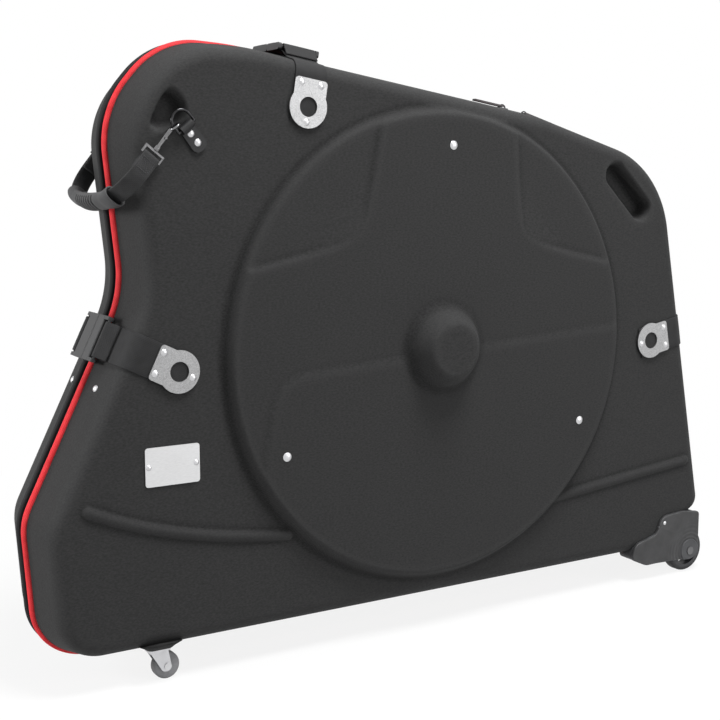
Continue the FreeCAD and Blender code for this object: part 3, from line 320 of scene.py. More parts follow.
buckle_plastic = moulded(
    "buckle_plastic", (0.015, 0.015, 0.0155), (0.044, 0.044, 0.0455), 1500.0, (0.34, 0.52), 0.00010)
tab_plastic = moulded(
    "tab_plastic", (0.005, 0.005, 0.0055), (0.019, 0.019, 0.020), 700.0, (0.45, 0.62), 0.00025)
housing_plastic = moulded(
    "housing_plastic", (0.040, 0.041, 0.044), (0.078, 0.079, 0.083), 1200.0, (0.40, 0.58), 0.00012)
wheel_plastic = moulded(
    "wheel_plastic", (0.030, 0.030, 0.032), (0.070, 0.070, 0.074), 1200.0, (0.42, 0.6), 0.00010)
grip_rubber = moulded(
    "grip_rubber", (0.004, 0.004, 0.0045), (0.088, 0.088, 0.090), 900.0, (0.50, 0.7), 0.00018, 0.0)
tyre_rubber = moulded(
    "tyre_rubber", (0.022, 0.022, 0.023), (0.060, 0.060, 0.062), 800.0, (0.55, 0.75), 0.00020)
caster_rubber = moulded(
    "caster_rubber", (0.16, 0.16, 0.165), (0.30, 0.30, 0.31), 800.0, (0.45, 0.65), 0.00015)
print("nodes in the buckle's tree:", len(buckle_plastic.node_tree.nodes))

# %% [markdown]
# The whole case follows one outline: straight runs joined by arcs, measured at the rim. `shifted` moves an outline
# sideways with its arcs kept concentric, and `walk` steps along it. With the same number of steps on every inset
# copy, the points of two copies match one to one and can be joined by clean quads.

# %% Outlines
shell_length, shell_height, floor_gap, origin_share = 1184.0, 821.0, 40.0, 0.4974
rim_shares = (
    (0.011, 0.000, 0.091), (0.887, 0.000, 0.073), (1.000, 0.084, 0.046), (0.904, 0.811, 0.213),
    (0.684, 0.903, 0.183), (0.270, 0.998, 0.487), (0.172, 1.000, 0.150), (0.103, 0.883, 0.160),
    (0.123, 0.594, 0.183), (0.000, 0.233, 0.097),
)
CORNER_HIGH, UPPER_RIGHT, TOP_BEND, TOP_START, WAIST, BULGE = 2, 3, 4, 5, 8, 9


def x_at(share):
    return (share - origin_share) * shell_length


def z_at(share):
    return floor_gap + share * shell_height


def heading(start, end):
    run = math.hypot(end[0] - start[0], end[1] - start[1])
    return (end[0] - start[0]) / run, (end[1] - start[1]) / run


def bends(corners, closed):
    count = len(corners)
    pairs = []
    for i in range(count):
        into = heading(corners[i - 1], corners[i]) if closed or i > 0 else None
        out = heading(corners[i], corners[(i + 1) % count]) if closed or i < count - 1 else None
        pairs.append((into or out, out or into))
    return pairs


def turn_of(into, out):
    """The angle from one heading to the next, positive to the left."""
    return math.atan2(into[0] * out[1] - into[1] * out[0], into[0] * out[0] + into[1] * out[1])


def shifted(corners, shift, closed=True):
    """An outline moved to its left by a distance."""
    moved = []
    for (a, b, radius), (into, out) in zip(corners, bends(corners, closed)):
        turn = into[0] * out[1] - into[1] * out[0]
        step = shift / (1 + into[0] * out[0] + into[1] * out[1])
        grown = radius - shift * math.copysign(1, turn) if radius else radius
        moved.append((a - (into[1] + out[1]) * step, b + (into[0] + out[0]) * step, grown))
    return moved


def walk(corners, steps, closed=True):
    """Points along the runs and arcs; steps is the number of pieces of each arc and of the run after it."""
    points = []
    stops = []
    for (a, b, radius), (into, out) in zip(corners, bends(corners, closed)):
        turn = turn_of(into, out)
        reach = radius * math.tan(abs(turn) / 2)
        enter = (a - into[0] * reach, b - into[1] * reach)
        leave = (a + out[0] * reach, b + out[1] * reach)
        stops.append((enter, into, turn, radius, leave))
    for i, (enter, into, turn, radius, leave) in enumerate(stops):
        arc_steps, run_steps = steps[i]
        side = math.copysign(1, turn)
        centre = (enter[0] - into[1] * radius * side, enter[1] + into[0] * radius * side)
        for k in range(arc_steps):
            angle = turn * k / arc_steps
            spoke = (enter[0] - centre[0], enter[1] - centre[1])
            c, s = math.cos(angle), math.sin(angle)
            points.append((centre[0] + spoke[0] * c - spoke[1] * s, centre[1] + spoke[0] * s + spoke[1] * c))
        if not closed and i == len(stops) - 1:
            points.append(leave)
            break
        goal = stops[(i + 1) % len(stops)][0]
        for k in range(run_steps):
            share = k / run_steps
            points.append((leave[0] + (goal[0] - leave[0]) * share, leave[1] + (goal[1] - leave[1]) * share))
    return points


def even_steps(corners, spacing, closed=True):
    """Steps that leave about the given spacing between points."""
    steps = []
    count = len(corners)
    for i, ((a, b, radius), (into, out)) in enumerate(zip(corners, bends(corners, closed))):
        turn = abs(turn_of(into, out))
        following = corners[(i + 1) % count]
        run = math.hypot(following[0] - a, following[1] - b)
        arc_steps = max(3, round(turn * radius / spacing)) if radius else 0
        steps.append((arc_steps, max(1, round(run / spacing))))
    return steps


def path_frames(path):
    """Each point of a path with the direction to its left."""
    framed = []
    for i, point in enumerate(path):
        before = path[max(i - 1, 0)]
        after = path[min(i + 1, len(path) - 1)]
        along = heading(before, after)
        framed.append((point, (-along[1], along[0])))
    return framed


rim_corners = [(x_at(x), z_at(z), radius * shell_height) for x, z, radius in rim_shares]
fine_steps = even_steps(rim_corners, 6.0)
print("rim points:", len(walk(rim_corners, fine_steps)))

# %% [markdown]
# Pieces are built from plain lists of points and faces in millimetres. `piece` makes the object, smooths it, gives
# it its finish and lets it ride on a body. `tube_faces` joins ring after ring of points, which is how nearly all
# the pieces below are made. Faces of a strip get UVs in metres.

# %% Mesh helpers
def piece(name, points, faces, material, body, uvs=None):
    mesh = bpy.data.meshes.new(name)
    mesh.from_pydata([(x * MM, y * MM, z * MM) for x, y, z in points], [], faces)
    mesh.materials.append(material)
    if uvs is not None:
        layer = mesh.uv_layers.new(name="strip")
        for loop in mesh.loops:
            layer.data[loop.index].uv = uvs[loop.vertex_index]
    mesh.polygons.foreach_set("use_smooth", [True] * len(mesh.polygons))
    mesh.update()
    made = put(name, mesh)
    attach(made, body)
    return made


def bridge(first, second, count, closed=True):
    """Quads between two rows of points that start at the given indices."""
    last = count if closed else count - 1
    return [(first + i, first + (i + 1) % count, second + (i + 1) % count, second + i) for i in range(last)]


def tube_faces(first, rings, count, capped=True):
    """Quads between rings of points that follow one another, and a face over each end."""
    faces = []
    for k in range(rings - 1):
        faces.extend(bridge(first + k * count, first + (k + 1) * count, count))
    if capped:
        faces.append(tuple(reversed(range(first, first + count))))
        faces.append(tuple(range(first + (rings - 1) * count, first + rings * count)))
    return faces


def turned_out(made):
    """Points every face of a closed mesh outward."""
    bpy.context.view_layer.objects.active = made
    bpy.ops.object.select_all(action="DESELECT")
    made.select_set(True)
    bpy.ops.object.mode_set(mode="EDIT")
    bpy.ops.mesh.select_all(action="SELECT")
    bpy.ops.mesh.normals_make_consistent(inside=False)
    bpy.ops.object.mode_set(mode="OBJECT")
    return made


print("mesh helpers ready")

# %% [markdown]
# A foam shell is pressed in a mould with its skin, so every step and ridge has a soft edge. The relief below gives
# the depth of the skin at any place on the face: the wheel disc with its lowered panels, the hub boss, the cross rib
# and the two pockets. Smooth minimum and maximum blend one form into the next, as the stretched skin does.

# %% Relief of the face
seam_half, shell_depth, wall, face_round = 17.0, 68.0, 5.0, 20.0
lean = math.radians(12.0)
draft = math.tan(lean)
face_y = seam_half + shell_depth
hub_x, hub_z = x_at(0.515), z_at(0.476)
disc_radius, disc_rise, disc_flank = 352.0, 18.0, 14.0
panel_step, sector_step, step_slope = 3.0, 7.0, 15.0
boss_base, boss_top, boss_rise, boss_reach = 65.0, 40.0, 51.0, 95.0
rib_radius, rib_rise = 9.0, 5.3
foot_blend, edge_blend, boss_edge_blend, boss_foot_blend = 2.0, 3.0, 4.5, 9.0
TINY = 1e-12


def ease(low, high, value):
    share = np.clip((value - low) / (high - low), 0, 1)
    return share * share * (3 - 2 * share)


def soft_min(a, b, width):
    share = np.clip(0.5 + 0.5 * (b - a) / width, 0, 1)
    return b * (1 - share) + a * share - width * share * (1 - share)


def soft_max(a, b, width):
    return -soft_min(-a, -b, width)


def hub_distance(x, z):
    return np.hypot(x - hub_x, z - hub_z)


def segment_gap(x, z, start, end):
    """Distance from the straight line between two points."""
    (ax, az), (bx, bz) = start, end
    run = (bx - ax) ** 2 + (bz - az) ** 2 + TINY
    share = np.clip(((x - ax) * (bx - ax) + (z - az) * (bz - az)) / run, 0, 1)
    return np.hypot(x - ax - share * (bx - ax), z - az - share * (bz - az))


def inside_by(x, z, loop):
    """Distance from an outline, positive inside it."""
    nearest = np.full(x.shape, np.inf)
    inside = np.zeros(x.shape, bool)
    for (ax, az), (bx, bz) in zip(loop, loop[1:] + loop[:1]):
        nearest = np.minimum(nearest, segment_gap(x, z, (ax, az), (bx, bz)))
        inside ^= ((az > z) != (bz > z)) & (x < (bx - ax) * (z - az) / (bz - az + TINY) + ax)
    return np.where(inside, nearest, -nearest)


def along_line(x, z, points):
    """Distance from an open line."""
    return np.minimum.reduce([segment_gap(x, z, start, end) for start, end in zip(points, points[1:])])


def on_disc(shares):
    return [(hub_x + a * disc_radius, hub_z + b * disc_radius, r * disc_radius) for a, b, r in shares]


def loop_of(corners, spacing=6.0):
    return walk(corners, even_steps(corners, spacing))


upper_panel = on_disc((
    (1.20, 0.075, 0), (1.20, 1.20, 0), (-1.20, 1.20, 0), (-1.20, -0.50, 0), (-0.87, -0.50, 0),
    (-0.80, -0.055, 0.17),
))
left_sector = on_disc(((-0.26, 1.20, 0), (-1.20, 1.20, 0), (-1.20, 0.31, 0), (-0.40, 0.47, 0.06)))
right_sector = on_disc(((0.42, 0.45, 0.06), (1.20, 0.28, 0), (1.20, 1.20, 0), (0.37, 1.20, 0)))
lowered = ((upper_panel, panel_step), (left_sector, sector_step), (right_sector, sector_step))
lowered_loops = [(loop_of(corners, 20.0), step) for corners, step in lowered]


def arc_through(start, middle, end, count):
    """Points of a flat bow through three points, as a parabola."""
    points = []
    for i in range(count + 1):
        t = i / count
        ends = ((1 - t) * (1 - 2 * t), 4 * t * (1 - t), t * (2 * t - 1))
        points.append(tuple(ends[0] * start[k] + ends[1] * middle[k] + ends[2] * end[k] for k in (0, 1)))
    return points


rib_bow = [(x_at(x), z_at(z)) for x, z in ((0.054, 0.258), (0.165, 0.202), (0.300, 0.171))]
right_rib = [(x_at(0.700), z_at(0.158)), (x_at(0.951), z_at(0.194))]
ribs = (arc_through(*rib_bow, 16), right_rib)

grip_turn = math.radians(-44.0)
grip_ends = ((-58, -20, 19.8), (58, -20, 19.8), (58, 20, 19.8), (-58, 20, 19.8))
grip_pocket = [
    (x_at(0.829) + a * math.cos(grip_turn) - b * math.sin(grip_turn),
     z_at(0.751) + a * math.sin(grip_turn) + b * math.cos(grip_turn), r)
    for a, b, r in grip_ends
]
finger_corners = [(math.radians(angle), reach, r) for angle, reach, r in ((91, 47, 27), (208, 58, 24), (328, 51, 24))]
finger_pocket = [
    (x_at(0.156) + reach * math.cos(angle), z_at(0.888) + reach * math.sin(angle), r)
    for angle, reach, r in finger_corners
]
pockets = ((loop_of(grip_pocket, 4.0), 24.0, -2.5, 8.5), (loop_of(finger_pocket, 4.0), 16.0, -6.0, 10.0))


def disc_depth(x, z, top, foot):
    """Depth of the wheel disc's skin, with a sloping flank; far below the face outside it."""
    radius = hub_distance(x, z)
    share = np.clip((foot - radius) / disc_flank, 0, 1)
    return np.where(radius < foot, face_y + (top - face_y) * share, 0)


def boss_depth(x, z, inset):
    slope = (boss_rise - disc_rise + panel_step) / (boss_base - boss_top)
    cone = face_y + boss_rise - inset - (hub_distance(x, z) - boss_top + inset) * slope
    return soft_min(cone, np.full_like(cone, face_y + boss_rise - inset), boss_edge_blend)


def with_boss(depth, x, z, inset):
    raised = soft_max(depth, boss_depth(x, z, inset), boss_foot_blend)
    return np.where(hub_distance(x, z) < boss_reach, raised, depth)


def pocket_drop(x, z, grow):
    drop = np.zeros_like(x)
    for loop, depth, edge, floor_edge in pockets:
        drop = np.maximum(drop, (depth + grow) * ease(edge - grow, floor_edge, inside_by(x, z, loop)))
    return drop


def outer_depth(x, z):
    """Depth of the outer skin from the seam, over the face."""
    disc_top = face_y + disc_rise
    level = np.full_like(x, disc_top)
    for loop, step in lowered_loops:
        drop = step * ease(-step_slope, 1.5, inside_by(x, z, loop))
        if step == sector_step:
            drop = drop * ease(0.48, 0.80, hub_distance(x, z) / disc_radius)
        level = np.minimum(level, disc_top - drop)
    disc = soft_min(disc_depth(x, z, disc_top, disc_radius), level, edge_blend)
    depth = with_boss(soft_max(np.full_like(x, face_y), disc, foot_blend), x, z, 0)
    for line in ribs:
        distance = along_line(x, z, line)
        bead = face_y - rib_radius + rib_rise + np.sqrt(np.clip(rib_radius ** 2 - distance ** 2, 0, None))
        depth = np.where(distance < rib_radius, soft_max(depth, bead, edge_blend), depth)
    return depth - pocket_drop(x, z, 0)


def inner_depth(x, z):
    """Depth of the lining, a wall's thickness inside."""
    disc = disc_depth(x, z, face_y + disc_rise - sector_step, disc_radius - wall) - wall
    depth = soft_max(np.full_like(x, face_y - wall), disc, edge_blend)
    return with_boss(depth, x, z, wall) - pocket_drop(x, z, wall)


# Painted shade for the skin's hollows and pockets and painted highlight for its ridges, taken from the relief.
def relief_painted_shading(x, z):
    """How far the skin lies below its surroundings, as painted shade: above 0 in a hollow, below 0 a painted
    highlight on a ridge.
    """
    full_hollow, ridge_highlight_cap, hollow_share = 1.6, -0.35, 0.65
    full_drop, pocket_shade_cap = 40.0, 0.12
    around = np.zeros_like(x)
    for reach, turn in ((5.0, 0.0), (11.0, 0.5)):
        for k in range(6):
            angle = math.pi * (k + turn) / 3
            around += outer_depth(x + reach * math.cos(angle), z + reach * math.sin(angle)) / 12
    hollow = np.clip((around - outer_depth(x, z)) / full_hollow, ridge_highlight_cap, 1.0) * hollow_share
    return hollow + np.clip(pocket_drop(x, z, 0) / full_drop, 0, pocket_shade_cap)


print("relief ready")

# %% [markdown]
# The skin itself has two regions. From the rim inward, rows of points climb the drafted wall and round the face's
# edge. Inside the last row, a triangle mesh covers the face: an even grid, with rings of points along the disc, the
# boss and the pockets so that their edges are drawn by clean lines. The lining is made the same way, more coarsely,
# and a strip at the rim joins the two into one closed shell.

# %% Half shells
disc_rings = (355, 352.6, 351, 348.5, 346, 344.4, 343, 341.6, 340.2, 338.8, 337.4, 335.5, 332, 328.5)
boss_rings = range(4, 84, 4)
pocket_insets = (-8, -5, -2.5, 0, 2, 4, 6, 8.5, 11)
step_insets = (-17, -14.5, -11, -7, -3, 0, 1.5, 4)
rib_offsets = (0, 4, 7, 9.5, 11.5, 14)
disc_band, boss_band, pocket_band, step_band, rib_band = (327.5, 357.5), (-1, 83), (-10, 13), (-19, 6), (-1, 16)
step_reach, step_ring_reach, relief_start = (-1, 330), (86, 327), 70.0


def wall_rows(extra, far, rounding, wall_count, arc_count):
    """Inset and depth of each row from the rim to the start of the flat face."""
    tangent = rounding * math.tan(math.radians(45.0) - lean / 2)
    rows = []
    start_depth = far - tangent * math.cos(lean)
    for i in range(wall_count):
        depth = seam_half + (start_depth - seam_half) * i / wall_count
        rows.append((extra + (depth - seam_half) * draft, depth))
    corner = extra + (far - seam_half) * draft
    centre = (corner + tangent, far - rounding)
    for i in range(arc_count + 1):
        angle = lean + (math.pi / 2 - lean) * i / arc_count
        rows.append((centre[0] - rounding * math.cos(angle), centre[1] + rounding * math.sin(angle)))
    return rows


def rib_rows(line):
    """Rows of points along a rib and round its ends."""
    points = []
    runs = [(0, max(1, round(math.dist(a, b) / 5))) for a, b in zip(line, line[1:])]
    path = walk([(x, z, 0) for x, z in line], runs + [(0, 1)], closed=False)
    for offset in rib_offsets:
        for (x, z), left in path_frames(path):
            points.extend((x + left[0] * side, z + left[1] * side) for side in {offset, -offset})
        for (x, z), (ahead_x, ahead_z) in ((path[0], path[1]), (path[-1], path[-2])):
            away = math.atan2(z - ahead_z, x - ahead_x)
            for k in range(1, 8):
                angle = away + math.pi * (k / 8 - 0.5)
                points.append((x + offset * math.cos(angle), z + offset * math.sin(angle)))
    return points


def within(values, band):
    return (values > band[0]) & (values < band[1])


def feature_rings(spacing):
    """Rings of points along the disc's edge, its steps, the boss, the ribs and the pockets."""
    rings = [(radius, round(2 * math.pi * radius / 5.5)) for radius in disc_rings]
    rings += [(radius, max(8, round(2 * math.pi * radius / spacing))) for radius in boss_rings]
    points = []
    for radius, count in rings:
        for i in range(count):
            angle = 2 * math.pi * (i + 0.5 * (radius % 2)) / count
            points.append((hub_x + radius * math.cos(angle), hub_z + radius * math.sin(angle)))
    for corners in (grip_pocket, finger_pocket):
        for inset in pocket_insets:
            points.extend(loop_of(shifted(corners, inset), 4.0))
    for corners, _ in lowered:
        for inset in step_insets:
            row = loop_of(shifted(corners, inset), 5.0)
            points.extend(p for p in row if within(math.dist(p, (hub_x, hub_z)), step_ring_reach))
    for line in ribs:
        points.extend(rib_rows(line))
    return points


def in_feature(x, z):
    """True where those rings draw the skin, so that the even grid keeps away."""
    radius = hub_distance(x, z)
    taken = within(radius, disc_band) | within(radius, boss_band)
    for loop, *_ in pockets:
        taken |= within(inside_by(x, z, loop), pocket_band)
    for loop, _ in lowered_loops:
        taken |= within(inside_by(x, z, loop), step_band) & within(radius, step_reach)
    for line in ribs:
        taken |= within(along_line(x, z, line), rib_band)
    return taken


def skin(rows, spacing, depth_at, features):
    """Points and faces of one skin, from the rim row to the middle of the face."""
    points = []
    loops = [walk(shifted(rim_corners, inset), fine_steps) for inset, _ in rows]
    count = len(loops[0])
    for loop, (_, depth) in zip(loops, rows):
        x, z = np.array(loop).T
        level = np.full_like(x, depth)
        if depth > relief_start:
            relief = depth_at(x, z)
            lifted = np.maximum(level, disc_depth(x, z, relief.max(), disc_radius))
            level = soft_max(level, np.minimum(lifted, relief), 0.5)
        points.extend(zip(x, level, z))
    faces = tube_faces(0, len(rows), count, capped=False)
    edge = loops[-1]
    x0, z0 = np.array(edge).min(axis=0)
    x1, z1 = np.array(edge).max(axis=0)
    grid_x, grid_z = np.meshgrid(np.arange(x0, x1, spacing), np.arange(z0, z1, spacing))
    grid_x, grid_z = grid_x.ravel(), grid_z.ravel()
    free = inside_by(grid_x, grid_z, edge) > spacing * 0.7
    if features:
        free &= ~in_feature(grid_x, grid_z)
    inner = list(zip(grid_x[free], grid_z[free]))
    if features:
        rings = np.array(feature_rings(spacing))
        kept = inside_by(rings[:, 0], rings[:, 1], edge) > 1.5
        inner.extend(map(tuple, rings[kept]))
    border = [(i, (i + 1) % count) for i in range(count)]
    places, _, triangles, sources, *_ = geometry.delaunay_2d_cdt(
        [Vector(p) for p in edge + inner], border, [], 1, 1e-4)
    x, z = np.array([(place.x, place.y) for place in places]).T
    first = len(points) - count
    corner_of = []
    for new, (olds, depth) in enumerate(zip(sources, depth_at(x, z))):
        on_edge = [old for old in olds if old < count]
        if on_edge:
            corner_of.append(first + on_edge[0])
        else:
            corner_of.append(len(points))
            points.append((x[new], depth, z[new]))
    faces.extend(tuple(corner_of[i] for i in face) for face in triangles)
    return points, faces, count


outer_rows = wall_rows(0.0, face_y, face_round, 7, 7)
outer_rows[:1] = [(4.2, seam_half), (2.4, seam_half + 0.6), (1.3, seam_half + 2.0), (0.95, seam_half + 4.4)]
inner_rows = wall_rows(wall, face_y - wall, face_round - 6, 4, 4)
outer_points, outer_faces, rim_count = skin(outer_rows, 4.6, outer_depth, True)
inner_points, inner_faces, _ = skin(inner_rows, 9.0, inner_depth, False)
skin_x, _, skin_z = np.array(outer_points).T
face_painted_shading = relief_painted_shading(skin_x, skin_z)
# Painted shade: a dark line along the rim rows, beside the piping, replacing the relief's values there.
rim_painted_shade = (0.9, 0.9, 0.9, 0.9, 0.5)
# Painted highlight: a paler band along the rounded edge between the wall and the face.
rounded_edge_painted_highlight = (-0.10, -0.25, -0.36, -0.36, -0.25, -0.15, -0.05)
row_painted_shading = np.zeros(len(outer_rows))
row_painted_shading[:5] = rim_painted_shade
row_painted_shading[10:17] = rounded_edge_painted_highlight
face_painted_shading[:rim_count * len(outer_rows)] = np.repeat(row_painted_shading, rim_count)


def half_shell(name, side, body, node):
    """One closed shell: outer skin, lining, and the rim face between them."""
    points = [(x, side * depth, z) for x, depth, z in outer_points + inner_points]
    shift = len(outer_points)
    faces = list(outer_faces)
    faces += [tuple(shift + i for i in reversed(face)) for face in inner_faces]
    faces += [(b, a, d, c) for a, b, c, d in bridge(0, shift, rim_count)]
    made = piece(name, points, faces, shell_skin, body)
    made.data.materials.append(lining)
    for index in range(len(outer_faces), len(outer_faces) + len(inner_faces)):
        made.data.polygons[index].material_index = 1
    # Painted shade and highlight for each point of the outer skin; the lining gets none.
    layer = made.data.attributes.new("painted_shading", "FLOAT", "POINT")
    layer.data.foreach_set("value", np.append(face_painted_shading, np.zeros(len(inner_points))).astype(np.float32))
    turned_out(made)
    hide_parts(node)
    return made


pad_x, pad_y, pad_z, pad_sink = -426.71, 64.0, 46.45, 2.0
pad_levels = ((15.5, 5.0, 0.0), (17.0, 6.0, 0.02), (18.6, 7.0, 0.12), (22.0, 10.0, 0.45), (31.0, 16.0, 1.0))


def caster_pad(name, side, body):
    """The flat pad that the shell is moulded with under each caster plate; its levels reach from it into the wall."""
    points = []
    for half, radius, share in pad_levels:
        corners = [(-half, -half, radius), (half, -half, radius), (half, half, radius), (-half, half, radius)]
        for a, b in walk(corners, [(5, 4)] * 4):
            y = pad_y + b
            in_wall = floor_gap + (y - seam_half) * draft + pad_sink
            points.append((pad_x + a, side * y, pad_z + (in_wall - pad_z) * share))
    faces = tube_faces(0, len(pad_levels), len(points) // len(pad_levels))
    made = turned_out(piece(name, points, faces, shell_skin, body))


front_moulding = half_shell("front_moulding", -1, "front_half", "front_shell")
half_shell("rear_moulding", 1, "rear_half", "rear_shell")
caster_pad("front_caster_pad", -1, "front_half")
caster_pad("rear_caster_pad", 1, "rear_half")
print("shell faces:", len(front_moulding.data.polygons))

# %% [markdown]
# Bands and straps are long strips. `strip` lays a rounded flat section along a path and keeps the length run and the
# place across as UVs, so the weave follows every bend. `stitches` lays short raised stitches along a line.

# %% Strip helpers
def strip(name, path, width, thickness, place, material, body, nodes_replaced=(), puff=0.0):
    """A woven strip: path in a plane, width across it, place(a, b, across) in space."""
    half, edge = width / 2, thickness / 2
    across = np.linspace(-half + edge, half - edge, 9)
    section = [(a, -edge - puff * (1 - (a / half) ** 2)) for a in across]
    section += [(half - 0.3 * edge, -0.7 * edge), (half, 0), (half - 0.3 * edge, 0.7 * edge)]
    section += [(a, edge + puff * (1 - (a / half) ** 2)) for a in reversed(across)]
    section += [(-half + 0.3 * edge, 0.7 * edge), (-half, 0), (-half + 0.3 * edge, -0.7 * edge)]
    points, uvs = [], []
    run = 0.0
    last = path[0]
    for (a, b), left in path_frames(path):
        run += math.hypot(a - last[0], b - last[1])
        last = (a, b)
        for side, lift in section:
            points.append(place(a + left[0] * lift, b + left[1] * lift, side))
            uvs.append((run * MM, side * MM))
    faces = tube_faces(0, len(path), len(section))
    made = turned_out(piece(name, points, faces, material, body, uvs))
    if nodes_replaced:
        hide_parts(*nodes_replaced)
    return made


def stitches(name, lines, spacing, radius, body):
    """Raised stitches: each line is a list of (point, outward) pairs in space."""
    points, faces = [], []
    rings = ((-0.42, 0.25), (-0.3, 0.9), (0.0, 1.0), (0.3, 0.9), (0.42, 0.25))
    for line in lines:
        travelled, goal = 0.0, 0.0
        for (start, out), (end, _) in zip(line, line[1:]):
            start, end, out = Vector(start), Vector(end), Vector(out).normalized()
            length = (end - start).length
            along = (end - start) / max(length, 1e-9)
            side = along.cross(out)
            while goal <= travelled + length:
                centre = start + along * (goal - travelled)
                faces.extend(tube_faces(len(points), len(rings), 6, capped=False))
                for step, size in rings:
                    for k in range(6):
                        angle = 2 * math.pi * k / 6
                        spot = centre + along * step * spacing
                        spot = spot + (side * math.cos(angle) + out * math.sin(angle)) * radius * size
                        points.append(tuple(spot))
                goal += spacing
            travelled += length
    piece(name, points, faces, stitch_thread, body)


def open_walk(corners, spacing):
    return walk(corners, even_steps(corners, spacing, closed=False), closed=False)


print("strip helpers ready")

# %% [markdown]
# Piping is a cord in a woven sleeve, sewn in between the shell's rim and the zip tape. It is swept round the rim as a
# tube, red on the front half and black on the rear. It stands proud at the ends of the case and sinks behind the
# swelling shell along the top, so each point's distance from the rim depends on where it lies.

# %% Piping
cord_y, cord_inset, cord_around, cord_rest = 12.6, 1.2, 14, 0.6


def on_top(x, z):
    """1 along the top edge, easing to 0 at its two corners."""
    return float(ease(-365.0, -220.0, np.float64(x)) * ease(600.0, 720.0, np.float64(z)))


def piping(name, side, cord_radius, body, node, material):
    loop = walk(shifted(rim_corners, cord_inset), even_steps(rim_corners, 5.0))
    loop.append(loop[0])
    points, faces, uvs = [], [], []
    run = 0.0
    count = cord_around + 1
    for i, (x, z) in enumerate(loop):
        before = loop[i - 1] if i else loop[-2]
        after = loop[i + 1] if i < len(loop) - 1 else loop[1]
        along = heading(before, after)
        run += math.dist((x, z), loop[i - 1]) if i else 0
        for k in range(count):
            angle = 2 * math.pi * k / cord_around
            out = cord_radius * math.cos(angle) - (cord_radius - cord_rest) * on_top(x, z)
            deep = cord_radius * math.sin(angle)
            points.append((x + along[1] * out, side * cord_y + deep, z - along[0] * out))
            uvs.append((run * MM, cord_radius * angle * MM))
    for i in range(len(loop) - 1):
        faces.extend(bridge(i * count, (i + 1) * count, count, closed=False))
    made = turned_out(piece(name, points, faces, material, body, uvs))
    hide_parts(node)


piping("front_cord", -1, 5.3, "front_half", "front_piping", red_piping)
piping("rear_cord", 1, 4.4, "rear_half", "rear_piping", black_piping)
print("piping laid")

# %% [markdown]
# The zip is a woven tape along each rim with a coil of teeth at its edge. The tape is a strip bent round the rim; the
# teeth are separate small links, those of the rear half set half a pitch on, so that the narrow tips of the two rows
# pass each other at the seam and close it.

# %% Zip tape and teeth
hinge_left, hinge_right = x_at(0.10), x_at(0.86)
tape_inset, tape_middle, tape_width, tape_thickness = 3.8, 4.95, 8.2, 1.5
tooth_inset, tooth_step, teeth_from = 2.25, 0.65, floor_gap + 25.0
tooth_rings = ((-0.8, 0.5), (0.0, 0.6), (0.9, 1.0), (2.4, 1.0), (3.1, 0.5))
TOOTH_SIDES = 6


def rim_run(inset, spacing):
    """The rim's points from the right end of the hinge strip over the top to its left end."""
    corners = shifted(rim_corners, inset)
    loop = walk(corners, even_steps(corners, spacing))
    on_hinge = [z < floor_gap + inset + 0.01 and hinge_left < x < hinge_right for x, z in loop]
    start = max(i for i, held in enumerate(on_hinge) if held) + 1
    order = [*range(start, len(loop)), *range(start)]
    return [loop[i] for i in order if not on_hinge[i]]


def zip_half(side, body, node, shift):
    name = "front" if side < 0 else "rear"

    def place(a, b, c):
        return (a, side * tape_middle + c, b)

    path = rim_run(tape_inset, 5.0)
    strip(name + "_tape", path, tape_width, tape_thickness, place, zip_cloth, body, (node,))
    points, faces = [], []
    links = [point for point in rim_run(tooth_inset, tooth_step) if point[1] > teeth_from]
    for i in range(shift, len(links) - 1, 4):
        (x, z), after = links[i], links[i + 1]
        along = heading((x, z), after)
        out = (along[1], -along[0])
        faces.extend(tube_faces(len(points), len(tooth_rings), TOOTH_SIDES))
        for reach, size in tooth_rings:
            for k in range(TOOTH_SIDES):
                angle = 2 * math.pi * (k + 0.5) / TOOTH_SIDES
                a, b = 0.85 * size * math.cos(angle), 0.78 * size * math.sin(angle)
                points.append((x + along[0] * a + out[0] * b, side * reach, z + along[1] * a + out[1] * b))
    made = turned_out(piece(name + "_teeth", points, faces, buckle_plastic, body))
    return len(points) // (TOOTH_SIDES * len(tooth_rings))


front_teeth = zip_half(-1, "front_half", "front_zip_tape", 0)
rear_teeth = zip_half(1, "rear_half", "rear_zip_tape", 2)
print("zip teeth:", front_teeth + rear_teeth)

# %% [markdown]
# Along the floor edge a sewn strip is the hinge. It is one piece of webbing across the seam, fixed in place and
# following neither half.

# %% Hinge strip
hinge_z, hinge_step, hinge_width, hinge_thickness = 43.8, 12.0, 18.0, 1.5
hinge_count = int((hinge_right - hinge_left) / hinge_step) + 1
hinge_path = [(hinge_left + i * hinge_step, hinge_z) for i in range(hinge_count)]
hinge_strip = strip(
    "hinge_strip", hinge_path, hinge_width, hinge_thickness, lambda a, b, c: (a, c, b), webbing, "rear_half")
hinge_strip.parent = None
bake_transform(hinge_strip)
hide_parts("front_hinge_flap", "rear_hinge_flap")
print("hinge strip points:", len(hinge_strip.data.vertices))

# %% [markdown]
# The three closing straps are 50 mm webbing. Each runs from under its anchor plate over the rounded edge of the face,
# along the wall, and round the bar of its buckle, where the tail folds back on itself. The path is drawn in the plane
# across the rim and swept sideways; the rear straps are mirror images.

# %% Closing straps
strap_sites = {
    "top": (TOP_BEND, TOP_START, 0.833, 72.0),
    "left": (WAIST, BULGE, 0.212, 88.0),
    "right": (CORNER_HIGH, UPPER_RIGHT, 0.536, 88.0),
}


def site_place(start, end, share, side):
    """Places strap points: a is the depth from the seam, b is outward, c runs along the rim."""
    first, second = rim_corners[start], rim_corners[end]
    left, up = heading(first, second)
    x = first[0] + (second[0] - first[0]) * share
    z = first[1] + (second[1] - first[1]) * share
    return lambda a, b, c: (x - left * c + up * b, -side * a, z - up * c - left * b)


